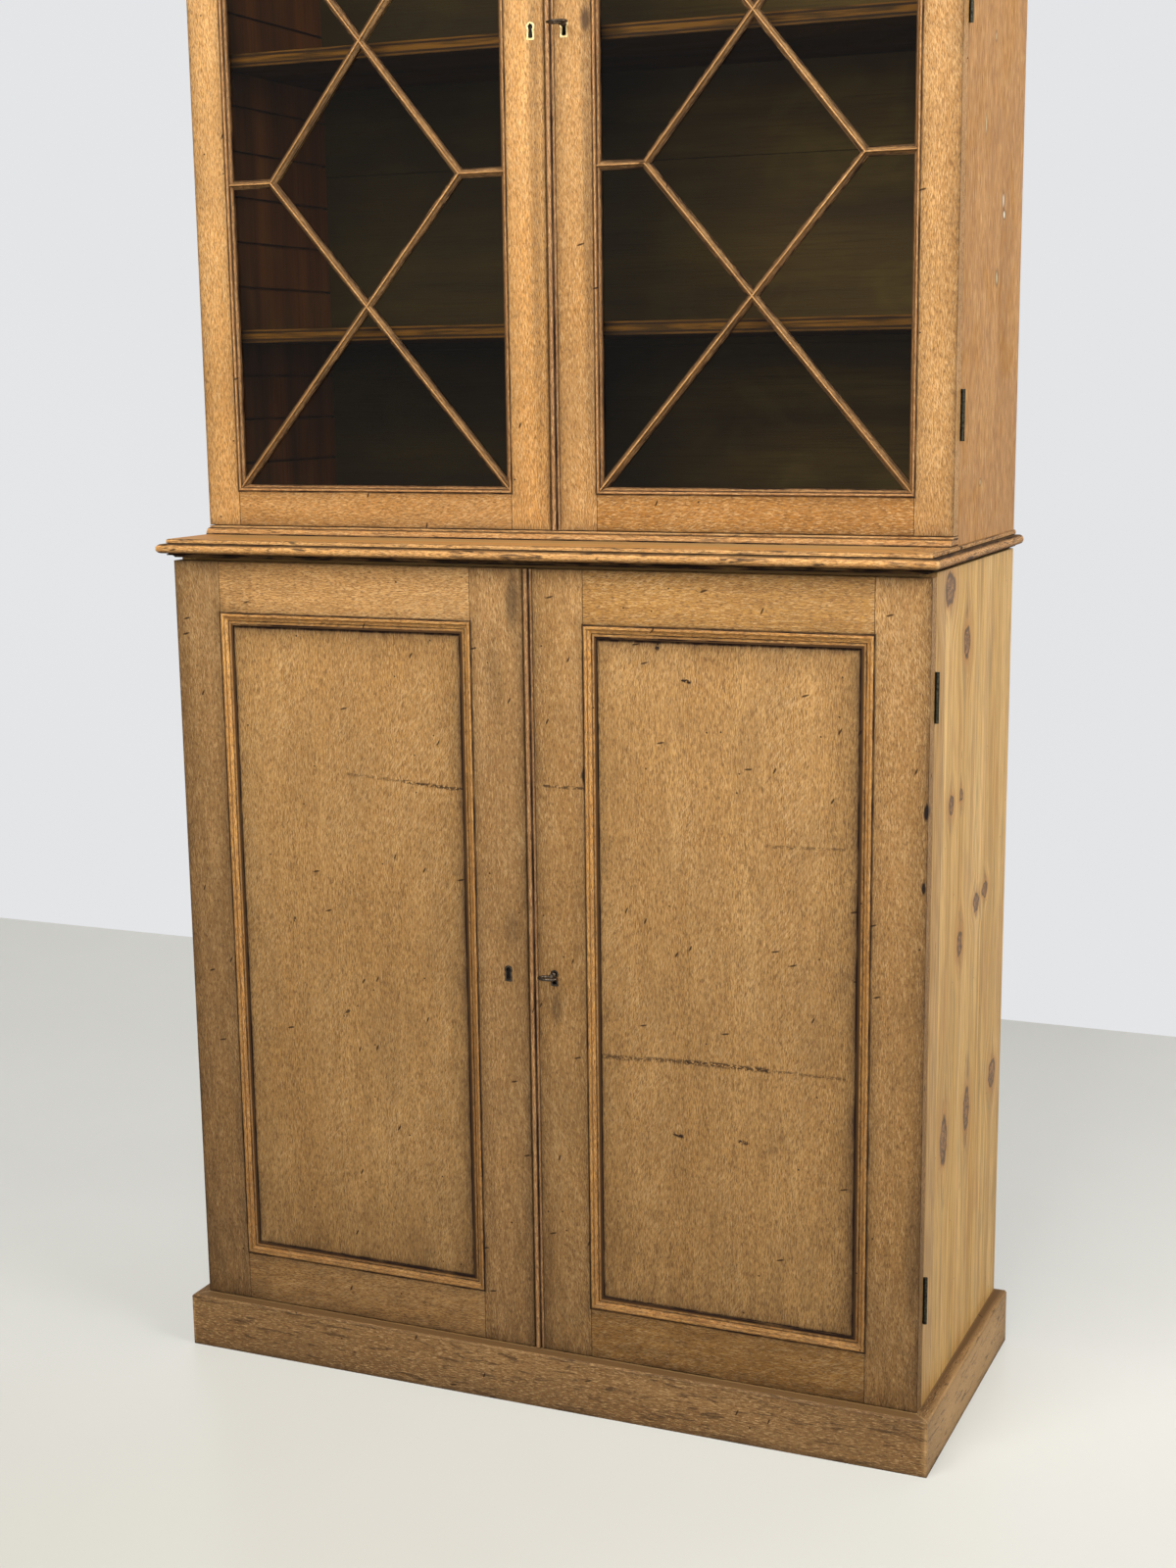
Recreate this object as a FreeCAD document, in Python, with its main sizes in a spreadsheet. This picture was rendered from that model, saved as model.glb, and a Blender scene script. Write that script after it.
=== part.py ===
import FreeCAD, Part
import math
import os
from types import SimpleNamespace

import Sketcher

# A glazed oak bookcase on a panelled cupboard. It stands on its plinth with Z up and X to
# the right, and its doors face -Y. The origin is the middle of the box round the whole
# piece, on the floor. Every driving size is in millimetres and is written once, here.
SIZES = {
    # Both carcasses: they share one width and one back.
    "cabinet_width": 1080,
    "lower_depth": 416,
    "upper_depth": 316,
    "side_thickness": 22,
    "back_thickness": 12,
    "back_rebate": 12,
    "board_gap": 0.8,
    "back_lap": 6,
    "housing_depth": 8,
    "fit_gap": 0.5,
    "overrun": 5,
    # Doors against the carcass and against each other.
    "door_air": 1,
    "door_gap": 2,
    "left_stile_extra": 4.5,
    "bead_offset": 5,
    "bead_width": 13,
    "bead_round": 7,
    "bead_quirk": 2.6,
    "bead_quirk_depth": 0.6,
    "bead_fillet_proud": 1,
    # Plinth: oak skirting on pine rails.
    "plinth_height": 78,
    "skirting_thickness": 19,
    "skirting_chamfer": 2.5,
    "plinth_rail_thickness": 22,
    "corner_block": 40,
    # Cupboard carcass.
    "side_strip_width": 44,
    "floor_thickness": 18,
    "top_rail_thickness": 22,
    "top_rail_width": 60,
    "lower_back_board": 178,
    "cupboard_shelf_thickness": 20,
    "cupboard_shelf_setback": 26,
    "cupboard_shelf_height": 360,
    "cupboard_shelf_pitch": 354,
    "bearer_width": 20,
    "bearer_height": 24,
    # Cupboard doors.
    "lower_door_lift": 1.5,
    "lower_door_height": 1084,
    "lower_door_thickness": 20,
    "lower_stile": 71,
    "lower_meeting_stile": 71,
    "lower_rail": 71,
    "panel_recess": 6,
    "panel_thickness": 6,
    "panel_groove": 8,
    "panel_mould_width": 17.5,
    "panel_mould_bead": 5.5,
    "panel_mould_cove": 14,
    "panel_mould_step": 0.8,
    "panel_mould_foot": 2.2,
    "tenon_length": 30,
    "tenon_thickness": 7,
    "tenon_haunch": 12,
    "joint_gap": 0.1,
    # Waist moulding round the cupboard's top.
    "waist_gap": 5,
    "waist_height": 25.5,
    "waist_width": 45,
    "waist_front_overhang": 13,
    "waist_side_overhang": 3,
    "waist_cove_width": 8,
    "waist_cove_height": 3.2,
    "waist_lower_fillet": 4.7,
    "torus_low": 6,
    "torus_reach": 11,
    "torus_height": 12.8,
    "waist_quirk_depth": 1.6,
    "waist_quirk_height": 1,
    "waist_round": 2.5,
    # Base moulding under the glazed doors.
    "base_height": 12,
    "base_reach": 36.5,
    "base_nose": 1.2,
    "base_ovolo": 9,
    "base_fillet_setback": 10.5,
    # Bookcase carcass.
    "upper_floor_thickness": 18,
    "upper_roof_thickness": 18,
    "upper_back_board": 257,
    "shelf_thickness": 18,
    "shelf_setback": 14,
    "shelf_tongue": 3,
    "groove_height": 3.6,
    "groove_depth": 7,
    "groove_low": 65.4,
    "groove_pitch": 61.75,
    # Glazed doors.
    "upper_door_lift": 1,
    "upper_door_height": 1280,
    "upper_door_thickness": 24,
    "upper_stile": 50,
    "upper_meeting_stile": 52,
    "upper_rail": 48,
    "glass_recess": 9,
    "glass_thickness": 2.4,
    "glass_gap": 1,
    "sticking_width": 9,
    "sticking_bead": 3.6,
    "sticking_step": 0.8,
    "sticking_foot": 3.2,
    "crossing_rise": 249,
    "short_bar": 70,
    "bar_width": 12,
    "bar_web": 3.4,
    "bar_web_depth": 11,
    "bar_height": 8,
    "bar_fillet": 1.3,
    "bar_fillet_height": 2.6,
    "bar_quirk": 0.6,
    "bar_crown": 1.6,
    # Cornice.
    "cornice_gap": 4,
    "cornice_height": 84,
    "cornice_width": 54,
    "cornice_bed": 4,
    "cornice_bed_height": 6,
    "cornice_neck": 6,
    "cornice_neck_height": 10,
    "cornice_cove": 34,
    "cornice_cove_height": 44,
    "cornice_step": 2,
    "cornice_fillet": 6,
    "cornice_ovolo": 54,
    "cornice_ovolo_height": 68,
    "cornice_crown": 58,
    # Butt hinges.
    "hinge_length": 63.5,
    "hinge_inset": 116,
    "hinge_leaf": 18,
    "hinge_recess": 1,
    "hinge_leaf_gap": 0.2,
    "knuckle_radius": 2.6,
    "knuckle_offset": 3,
    "knuckle_end": 18,
    "knuckle_gap": 0.3,
    "pin_radius": 1.4,
    "pin_gap": 0.05,
    # Keyholes and their escutcheons.
    "keyhole_radius": 3.6,
    "keyhole_neck": 2.1,
    "keyhole_foot": 3.2,
    "keyhole_drop": 14,
    "keyhole_corner": 1.2,
    "escutcheon_rim": 2.4,
    "escutcheon_depth": 3,
    "escutcheon_proud": 0.3,
    "upper_lock_inset": 27,
    "upper_blind_inset": 18,
    "lower_lock_inset": 36.5,
    "lower_blind_inset": 29.5,
    # Cut locks with their bolts and keys.
    "case_width": 46,
    "case_height": 44,
    "case_depth": 11,
    "case_wall": 1.4,
    "bit_layer": 3.6,
    "bit_reach": 7,
    "bit_thickness": 2.4,
    "lock_gap": 0.4,
    "lock_bolt_length": 34,
    "lock_bolt_height": 10,
    "lock_bolt_thickness": 3,
    "lock_bolt_rise": 9,
    "lock_bolt_setback": 0.5,
    "lock_mortise_depth": 9,
    "stem_seat_depth": 1.8,
    "key_reach": 32,
    "key_stem": 2.2,
    "key_collar": 3.7,
    "key_collar_start": 2,
    "key_collar_length": 2.2,
    "key_bow_width": 29,
    "key_bow_length": 20,
    "key_wire": 3,
    # Tower bolts behind the left doors: a flat bar that slides in two staples.
    "bolt_width": 8,
    "bolt_thickness": 4,
    "bolt_length": 78,
    "bolt_gap": 0.15,
    "bolt_hole_gap": 0.6,
    "bolt_hole_depth": 14,
    "bolt_rest_gap": 3,
    "bolt_plate_width": 22,
    "bolt_plate_thickness": 3.2,
    "bolt_plate_start": 14,
    "bolt_plate_length": 42,
    "staple_wall": 1.8,
    "staple_length": 8,
    "staple_inset": 2,
    "bolt_knob_radius": 3,
    "bolt_knob_length": 8,
    "bolt_knob_inset": 4,
}

# Counts, and bulges: a bulge is the tangent of a quarter of the arc's angle. Small round
# things that repeat are drawn with few sides.
HINGES_PER_LOWER_DOOR = 2
HINGES_PER_UPPER_DOOR = 3
GROOVES_PER_SIDE = 19
SHELF_GROOVES = (3, 9, 15)
KNUCKLE_SIDES = 12
BORE_SIDES = 16
KEYHOLE_SIDES = 16
BOW_SIDES = 24
KNOB_SIDES = 8
BORE_CORNER_SHARE = 1 / math.cos(math.pi / BORE_SIDES)
QUARTER_ROUND_SHARE = math.tan(math.pi / 8)
SHALLOW_ARC_SHARE = 0.25
BEAD_SHARE = 0.45
FULL_BEAD_SHARE = 0.78

doc = FreeCAD.newDocument("display_cabinet")
sheet = doc.addObject("Spreadsheet::Sheet", "Sizes")
for row, (alias, value) in enumerate(SIZES.items(), 1):
    sheet.set("A%d" % row, alias)
    sheet.set("B%d" % row, str(value))
    sheet.setAlias("B%d" % row, alias)
doc.recompute()


class Size:
    """A length that knows both its formula in the sheet and its value."""

    def __init__(self, text, value):
        self.text = text
        self.value = float(value)

    def __add__(self, other):
        other = sized(other)
        return Size("(%s + %s)" % (self.text, other.text), self.value + other.value)

    def __sub__(self, other):
        other = sized(other)
        return Size("(%s - %s)" % (self.text, other.text), self.value - other.value)

    def __mul__(self, number):
        return Size("(%s * %r)" % (self.text, number), self.value * number)

    def __truediv__(self, number):
        return Size("(%s / %r)" % (self.text, number), self.value / number)

    def __neg__(self):
        return Size("(0 - %s)" % self.text, -self.value)

    __rmul__ = __mul__
    __radd__ = __add__


def sized(thing):
    return thing if isinstance(thing, Size) else Size(repr(thing), thing)


def hypotenuse(across, up):
    text = "sqrt(%s ^ 2 + %s ^ 2)" % (across.text, up.text)
    return Size(text, math.hypot(across.value, up.value))


s = SimpleNamespace(**{alias: Size("Sizes." + alias, value) for alias, value in SIZES.items()})


# Helpers that add one object to the document, bound to the sheet.
def bind(thing, prop, size):
    thing.setExpression(prop, sized(size).text)


def place(thing, point):
    for letter, size in zip("xyz", point):
        bind(thing, ".Placement.Base." + letter, size)


def board(name, x, y, z):
    """A rectangular board from its low and high places along each axis."""
    box = doc.addObject("Part::Box", name)
    for prop, (low, high) in (("Length", x), ("Width", y), ("Height", z)):
        bind(box, prop, sized(high) - low)
    place(box, (x[0], y[0], z[0]))
    return box


AXIS_TURNS = {0: ((0, 1, 0), 90), 1: ((1, 0, 0), -90), 2: ((0, 0, 1), 0)}


def bar_along(kind, name, x, y, z):
    """A primitive bar along the axis whose place is a (low, high) pair."""
    spots = [x, y, z]
    along = [isinstance(spot, tuple) for spot in spots].index(True)
    low, high = spots[along]
    spots[along] = low
    bar = doc.addObject(kind, name)
    axis, angle = AXIS_TURNS[along]
    bar.Placement = FreeCAD.Placement(FreeCAD.Vector(), FreeCAD.Rotation(FreeCAD.Vector(*axis), angle))
    bind(bar, "Height", sized(high) - low)
    place(bar, spots)
    return bar


def rod(name, x, y, z, radius):
    """A round bar."""
    bar = bar_along("Part::Cylinder", name, x, y, z)
    bind(bar, "Radius", radius)
    return bar


def faceted(name, x, y, z, radius, sides):
    """A bar with flat sides, whose corners are a radius from its axis."""
    bar = bar_along("Part::Prism", name, x, y, z)
    bar.Polygon = sides
    bind(bar, "Circumradius", radius)
    return bar


def join(name, *pieces):
    whole = doc.addObject("Part::MultiFuse", name)
    whole.Shapes = list(pieces)
    return whole


def cut(name, piece, *cutters):
    rest = doc.addObject("Part::Cut", name)
    rest.Base = piece
    rest.Tool = cutters[0] if len(cutters) == 1 else join(name + "_cutters", *cutters)
    return rest


def group(name, *pieces):
    """Like pieces that share one node, each still its own solid."""
    compound = doc.addObject("Part::Compound", name)
    compound.Links = list(pieces)
    return compound


NODES = {}


def node(name, thing):
    thing.Label = name
    NODES[name] = thing
    return thing


def mirrored(pair, side):
    """A pair of places on the right, or its mirror image on the left."""
    low, high = sized(pair[0]), sized(pair[1])
    return (low, high) if side > 0 else (-high, -low)


# Sketches. An outline is a closed list of corners (u, v) or (u, v, bulge), where the bulge
# bends the edge that leaves the corner, and is positive for an anticlockwise arc.
def new_sketch(body, role, name):
    sketch = body.newObject("Sketcher::SketchObject", name)
    plane = [feature for feature in body.Origin.OriginFeatures if feature.Role == role][0]
    sketch.AttachmentSupport = [(plane, "")]
    sketch.MapMode = "FlatFace"
    return sketch


def pin_corner(sketch, edge, end, u, v):
    """Hold one corner at its place from the sketch's origin."""
    for kind, size, axis in (("DistanceX", u, -2), ("DistanceY", v, -1)):
        if isinstance(size, Size):
            index = sketch.addConstraint(Sketcher.Constraint(kind, -1, 1, edge, end, size.value))
            bind(sketch, "Constraints[%d]" % index, size)
        else:
            sketch.addConstraint(Sketcher.Constraint("PointOnObject", edge, end, axis))


def draw(sketch, outline):
    corners = [(corner + (0,))[:3] for corner in outline]
    ends = []
    for (u, v, bulge), (next_u, next_v, _) in zip(corners, corners[1:] + corners[:1]):
        start = FreeCAD.Vector(sized(u).value, sized(v).value, 0)
        stop = FreeCAD.Vector(sized(next_u).value, sized(next_v).value, 0)
        if not bulge:
            edge = sketch.addGeometry(Part.LineSegment(start, stop))
            ends.append((edge, 1, 2))
            continue
        chord = stop - start
        curve = (1 + bulge * bulge) / (4 * abs(bulge))
        lift = (1 - bulge * bulge) / (4 * bulge)
        centre = (start + stop) / 2 + FreeCAD.Vector(-chord.y, chord.x, 0) * lift
        first, last = (start, stop) if bulge > 0 else (stop, start)
        angles = [math.atan2(point.y - centre.y, point.x - centre.x) for point in (first, last)]
        circle = Part.Circle(centre, FreeCAD.Vector(0, 0, 1), chord.Length * curve)
        edge = sketch.addGeometry(Part.ArcOfCircle(circle, *angles))
        ends.append((edge, 1, 2) if bulge > 0 else (edge, 2, 1))
        radius = hypotenuse(sized(next_u) - u, sized(next_v) - v) * curve
        index = sketch.addConstraint(Sketcher.Constraint("Radius", edge, radius.value))
        bind(sketch, "Constraints[%d]" % index, radius)
    for (edge, _, stop), (following, start, _) in zip(ends, ends[1:] + ends[:1]):
        sketch.addConstraint(Sketcher.Constraint("Coincident", edge, stop, following, start))
    for (edge, start, _), (u, v, _) in zip(ends, corners):
        pin_corner(sketch, edge, start, u, v)


def turned_body(name, corner, outward, upward):
    """A body whose sketch axes u and v point outward and upward from a corner."""
    body = doc.addObject("PartDesign::Body", name)
    across = FreeCAD.Vector(*outward)
    up = FreeCAD.Vector(*upward)
    turn = FreeCAD.Rotation(across, up, across.cross(up), "XYZ")
    body.Placement = FreeCAD.Placement(FreeCAD.Vector(), turn)
    place(body, corner)
    return body


def pad(body, outline, length):
    sketch = new_sketch(body, "XY_Plane", body.Name + "_outline")
    draw(sketch, outline)
    feature = body.newObject("PartDesign::Pad", body.Name + "_pad")
    feature.Profile = sketch
    bind(feature, "Length", length)
    return feature


def slice_end(body, name, outline):
    """Cut the outline, drawn across u and along the run, right through the piece."""
    sketch = new_sketch(body, "XZ_Plane", name + "_line")
    draw(sketch, outline)
    pocket = body.newObject("PartDesign::Pocket", name)
    pocket.Profile = sketch
    pocket.Type = "ThroughAll"
    pocket.SideType = "Symmetric"


def run(name, outline, corner, outward, upward, length, ends=(0, 0)):
    """A moulded length. It runs along outward x upward from the corner.

    An end of 1 is an outside mitre, which is longer at its outer face, -1 an inside mitre,
    which is shorter there, and 0 is cut square.
    """
    reach = max((sized(edge[0]) for edge in outline), key=lambda size: size.value)
    along = FreeCAD.Vector(*outward).cross(FreeCAD.Vector(*upward))
    before = reach if ends[0] > 0 else sized(0)
    after = reach if ends[1] > 0 else sized(0)
    start = [sized(spot) - before * step if step else spot for spot, step in zip(corner, along)]
    body = turned_body(name, start, outward, upward)
    pad(body, outline, before + length + after)
    over = s.overrun
    foot = before + length
    if ends[0] > 0:
        slice_end(body, name + "_start", [(-over, before + over), (-over, -over), (reach + over, -over)])
    if ends[0] < 0:
        wedge = [(-over, -over), (reach + over, -over), (reach + over, reach + over)]
        slice_end(body, name + "_start", wedge)
    if ends[1] > 0:
        slice_end(body, name + "_end", [(-over, foot - over), (reach + over, foot + reach + over),
                                        (-over, foot + reach + over)])
    if ends[1] < 0:
        slice_end(body, name + "_end", [(-over, foot + over), (reach + over, foot - reach - over),
                                        (reach + over, foot + over)])
    return body


LEFT, RIGHT = (-1, 0, 0), (1, 0, 0)
FRONT, REAR = (0, -1, 0), (0, 1, 0)
UP, DOWN = (0, 0, 1), (0, 0, -1)

# Places that the pieces share. The depth of the whole runs from the cupboard key's bow to
# the back, and Y starts at its middle.
half = s.cabinet_width / 2
inner = half - s.side_thickness
rear = (s.key_reach + s.lower_door_thickness + s.door_air + s.lower_depth) / 2
back_face = rear - s.back_thickness

lower_front = rear - s.lower_depth
lower_door_back = lower_front - s.door_air
lower_face = lower_door_back - s.lower_door_thickness
upper_front = rear - s.upper_depth
upper_door_back = upper_front - s.door_air
upper_face = upper_door_back - s.upper_door_thickness

lower_door_foot = s.plinth_height + s.lower_door_lift
lower_door_head = lower_door_foot + s.lower_door_height
waist_foot = lower_door_head + s.waist_gap
waist_top = waist_foot + s.waist_height
upper_floor = waist_top + s.base_height
upper_door_foot = upper_floor + s.upper_door_lift
upper_door_head = upper_door_foot + s.upper_door_height
cornice_foot = upper_door_head + s.cornice_gap

lower_rail_foot = waist_foot - s.top_rail_thickness
cupboard_floor = s.plinth_height + s.floor_thickness
bookcase_floor = upper_floor + s.upper_floor_thickness
bookcase_roof = cornice_foot - s.upper_roof_thickness

meeting_edge = s.bead_offset + s.door_gap
bead_edge = s.bead_width - s.bead_offset
left_bolt_x = {
    "lower": -(meeting_edge + (s.lower_meeting_stile + s.left_stile_extra) / 2),
    "upper": -(meeting_edge + (s.upper_meeting_stile + s.left_stile_extra) / 2),
}


# Hinges. The axis stands in the air gap behind the door and just outside the carcass.
def hinge_feet(foot, head, count):
    """The lower end of each hinge on a door."""
    low = foot + s.hinge_inset
    high = head - s.hinge_inset - s.hinge_length
    return [low + (high - low) * index / (count - 1) for index in range(count)]


def hinge_axis(side, door_back):
    return (half + s.knuckle_offset) * side, door_back + s.door_air / 2


def leaf_span(side):
    return mirrored((half - s.hinge_leaf, half), side)


def fixed_leaf(name, side, door_back, foot):
    """The leaf on the carcass, with its two knuckles and the pin."""
    x, y = hinge_axis(side, door_back)
    head = foot + s.hinge_length
    thick = (y + s.hinge_leaf_gap / 2, door_back + s.door_air + s.hinge_recess)
    pieces = [board(name + "_leaf", leaf_span(side), thick, (foot, head))]
    for part, ends in (("low", (foot, foot + s.knuckle_end)), ("high", (head - s.knuckle_end, head))):
        neck = mirrored((half, half + s.knuckle_offset), side)
        pieces.append(board("%s_%s_neck" % (name, part), neck, thick, ends))
        pieces.append(faceted("%s_%s_knuckle" % (name, part), x, y, ends, s.knuckle_radius, KNUCKLE_SIDES))
    pieces.append(rod(name + "_pin", x, y, (foot, head), s.pin_radius))
    return join(name, *pieces)


def moving_leaf(name, side, door_back, foot):
    """The leaf on the door, with its bored middle knuckle."""
    x, y = hinge_axis(side, door_back)
    head = foot + s.hinge_length
    thick = (door_back - s.hinge_recess, y - s.hinge_leaf_gap / 2)
    middle = (foot + s.knuckle_end + s.knuckle_gap, head - s.knuckle_end - s.knuckle_gap)
    neck = mirrored((half, half + s.knuckle_offset), side)
    whole = join(
        name + "_solid",
        board(name + "_leaf", leaf_span(side), thick, (foot, head)),
        board(name + "_neck", neck, thick, middle),
        faceted(name + "_knuckle", x, y, middle, s.knuckle_radius, KNUCKLE_SIDES),
    )
    bore_corner = (s.pin_radius + s.pin_gap) * BORE_CORNER_SHARE
    bore = faceted(name + "_bore", x, y, (foot, head), bore_corner, BORE_SIDES)
    return cut(name, whole, bore)


def leaf_recess(name, side, thick, foot):
    return board(name, leaf_span(side), thick, (foot, foot + s.hinge_length))


HINGE_SETS = [
    ("lower", lower_door_back, hinge_feet(lower_door_foot, lower_door_head, HINGES_PER_LOWER_DOOR)),
    ("upper", upper_door_back, hinge_feet(upper_door_foot, upper_door_head, HINGES_PER_UPPER_DOOR)),
]
SIDES = {"left": -1, "right": 1}

fixed_leaves = []
side_recesses = {}
for level, door_back, feet in HINGE_SETS:
    for hand, side in SIDES.items():
        side_recesses[level, hand] = []
        front = door_back + s.door_air
        for number, foot in enumerate(feet, 1):
            name = "%s_%s_hinge_%d" % (level, hand, number)
            fixed_leaves.append(fixed_leaf(name + "_fixed", side, door_back, foot))
            depth = (front, front + s.hinge_recess)
            side_recesses[level, hand].append(leaf_recess(name + "_seat", side, depth, foot))
node("hinge_fixed_leaves", group("fixed_leaves", *fixed_leaves))

# Cupboard carcass: pine sides with a glued front strip, housed floor and rebated back.
strip_rear = lower_front + s.side_strip_width
for hand, side in SIDES.items():
    width = mirrored((inner, half), side)
    strip = board("lower_%s_strip" % hand, width, (lower_front, strip_rear), (0, waist_foot))
    housed = mirrored((inner, inner + s.housing_depth), side)
    seat = (s.plinth_height, cupboard_floor)
    floor_seat = board("lower_%s_strip_seat" % hand, housed, (lower_front, rear), seat)
    strip_cut = cut("lower_%s_strip_cut" % hand, strip, floor_seat, *side_recesses["lower", hand])
    panel = board("lower_%s_panel" % hand, width, (strip_rear, rear), (0, waist_foot))
    rebate = mirrored((inner, inner + s.back_rebate), side)
    back_seat = board("lower_%s_rebate" % hand, rebate, (back_face, rear), (s.plinth_height, waist_foot))
    side_seat = board("lower_%s_seat" % hand, housed, (lower_front, rear), seat)
    panel_cut = cut("lower_%s_panel_cut" % hand, panel, back_seat, side_seat)
    node("lower_side_" + hand, group("lower_%s_side" % hand, strip_cut, panel_cut))


def bolt_sides(x, door_back, gap):
    """Where a tower bolt's bar lies across X and Y, with a gap all round."""
    near = door_back + s.bolt_plate_thickness + s.bolt_gap
    half_width = s.bolt_width / 2 + gap
    return (x - half_width, x + half_width), (near - gap, near + s.bolt_thickness + gap)


def bolt_hole(name, x, door_back, low, high):
    """A keep for a tower bolt, chopped into the carcass behind the door."""
    across, deep = bolt_sides(x, door_back, s.bolt_hole_gap)
    return board(name, across, deep, (low, high))


floor_reach = inner + s.housing_depth
floor_board = board("cupboard_floor_board", (-floor_reach, floor_reach), (lower_front, back_face),
                    (s.plinth_height, cupboard_floor))
floor_hole = bolt_hole("cupboard_floor_hole", left_bolt_x["lower"], lower_door_back,
                       cupboard_floor - s.bolt_hole_depth, cupboard_floor)
node("lower_floor", cut("lower_floor_cut", floor_board, floor_hole))

rail_high = (lower_rail_foot, waist_foot)
front_rail_deep = (lower_front, lower_front + s.top_rail_width)
front_rail = board("front_top_rail", (-inner, inner), front_rail_deep, rail_high)
rail_hole = bolt_hole("top_rail_hole", left_bolt_x["lower"], lower_door_back,
                      lower_rail_foot, lower_rail_foot + s.bolt_hole_depth)
rear_rail = board("rear_top_rail", (-inner, inner), (back_face - s.top_rail_width, back_face), rail_high)
node("lower_top_rails", group("top_rails", cut("front_top_rail_cut", front_rail, rail_hole), rear_rail))


def share_boards(width, board_width):
    """Where the boards of a back begin and end, all of one width but the last."""
    count = max(1, round(width.value / board_width.value))
    edges = [board_width * index for index in range(count)] + [width]
    return list(zip(edges, edges[1:]))


def lapped_boards(name, edges, start, lay):
    """A back's boards. Each one's rear half is shifted by a lap, so that no joint goes right through."""
    middle = back_face + s.back_thickness / 2
    boards = []
    for number, (low, high) in enumerate(edges, 1):
        title = "%s_%d" % (name, number)
        rear_low = low if number == 1 else low + s.back_lap
        rear_high = high if number == len(edges) else high + s.back_lap
        front_span = (start + low, start + high - s.board_gap)
        rear_span = (start + rear_low, start + rear_high - s.board_gap)
        front_half = lay(title + "_front", front_span, (back_face, middle))
        rear_half = lay(title + "_rear", rear_span, (middle, rear))
        boards.append(join(title, front_half, rear_half))
    return boards


def lay_upright(name, span, deep):
    return board(name, span, deep, (s.plinth_height, waist_foot))


back_reach = inner + s.back_rebate - s.fit_gap
lower_edges = share_boards(back_reach * 2, s.lower_back_board)
lower_backs = lapped_boards("lower_back", lower_edges, -back_reach, lay_upright)
node("lower_back_boards", group("lower_backs", *lower_backs))

shelf_front = lower_front + s.cupboard_shelf_setback
first_shelf = cupboard_floor + s.cupboard_shelf_height
shelf_levels = [first_shelf, first_shelf + s.cupboard_shelf_pitch]
shelves, bearers = [], []
for number, level in enumerate(shelf_levels, 1):
    shelf_reach = inner - s.fit_gap
    shelves.append(board("cupboard_shelf_%d" % number, (-shelf_reach, shelf_reach),
                         (shelf_front, back_face - s.fit_gap), (level - s.cupboard_shelf_thickness, level)))
    for hand, side in SIDES.items():
        under = level - s.cupboard_shelf_thickness
        bearer_across = mirrored((inner - s.bearer_width, inner), side)
        bearers.append(board("bearer_%s_%d" % (hand, number), bearer_across,
                             (strip_rear, back_face - s.fit_gap), (under - s.bearer_height, under)))
node("lower_shelves", group("cupboard_shelves", *shelves, *bearers))

# Plinth: a mitred oak skirting outside, pine rails and glued corner blocks inside.
skirting = [
    (0, 0),
    (s.skirting_thickness, 0),
    (s.skirting_thickness, s.plinth_height - s.skirting_chamfer),
    (s.skirting_thickness - s.skirting_chamfer, s.plinth_height),
    (0, s.plinth_height),
]
side_run = rear - lower_face
node("plinth_skirting", group(
    "skirting_runs",
    run("plinth_front", skirting, (half, lower_face, 0), FRONT, UP, s.cabinet_width, (1, 1)),
    run("plinth_left", skirting, (-half, lower_face, 0), LEFT, UP, side_run, (1, 0)),
    run("plinth_right", skirting, (half, rear, 0), RIGHT, UP, side_run, (0, 1)),
))
rail_rear = lower_front + s.plinth_rail_thickness
rear_rail_deep = (back_face - s.plinth_rail_thickness, back_face)
low_rails = [
    board("plinth_packing", (-half, half), (lower_face, lower_front), (0, s.plinth_height)),
    board("plinth_front_rail", (-inner, inner), (lower_front, rail_rear), (0, s.plinth_height)),
    board("plinth_rear_rail", (-inner, inner), rear_rail_deep, (0, s.plinth_height)),
]
for hand, side in SIDES.items():
    low_rails.append(board("plinth_block_" + hand, mirrored((inner - s.corner_block, inner), side),
                           (rail_rear, rail_rear + s.corner_block), (0, s.plinth_height)))
node("plinth_rails", group("plinth_inner", *low_rails))

# Waist: the cupboard's top board framed by a mitred moulding on three sides.
edge = s.waist_width
torus_tip = edge + s.torus_reach
torus_flat = torus_tip - s.torus_height / 2
torus_top = s.torus_low + s.torus_height
waist = [
    (0, 0),
    (edge - s.waist_cove_width, 0, -QUARTER_ROUND_SHARE),
    (edge, s.waist_cove_height),
    (edge, s.waist_lower_fillet),
    (edge - s.waist_quirk_depth, s.waist_lower_fillet),
    (edge - s.waist_quirk_depth, s.torus_low),
    (torus_flat, s.torus_low, QUARTER_ROUND_SHARE),
    (torus_tip, s.torus_low + s.torus_height / 2, QUARTER_ROUND_SHARE),
    (torus_flat, torus_top),
    (edge - s.waist_quirk_depth, torus_top),
    (edge - s.waist_quirk_depth, torus_top + s.waist_quirk_height),
    (edge, torus_top + s.waist_quirk_height),
    (edge, s.waist_height - s.waist_round, QUARTER_ROUND_SHARE),
    (edge - s.waist_round, s.waist_height),
    (0, s.waist_height),
]
waist_half = half + s.waist_side_overhang - s.waist_width
waist_line = lower_face - s.waist_front_overhang + s.waist_width
waist_run = rear - waist_line
node("waist_moulding", group(
    "waist_runs",
    run("waist_front", waist, (waist_half, waist_line, waist_foot), FRONT, UP, waist_half * 2, (1, 1)),
    run("waist_left", waist, (-waist_half, waist_line, waist_foot), LEFT, UP, waist_run, (1, 0)),
    run("waist_right", waist, (waist_half, rear, waist_foot), RIGHT, UP, waist_run, (0, 1)),
))
waist_span = (-waist_half, waist_half)
node("lower_top_board", board("cupboard_top", waist_span, (waist_line, rear), (waist_foot, waist_top)))

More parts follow.
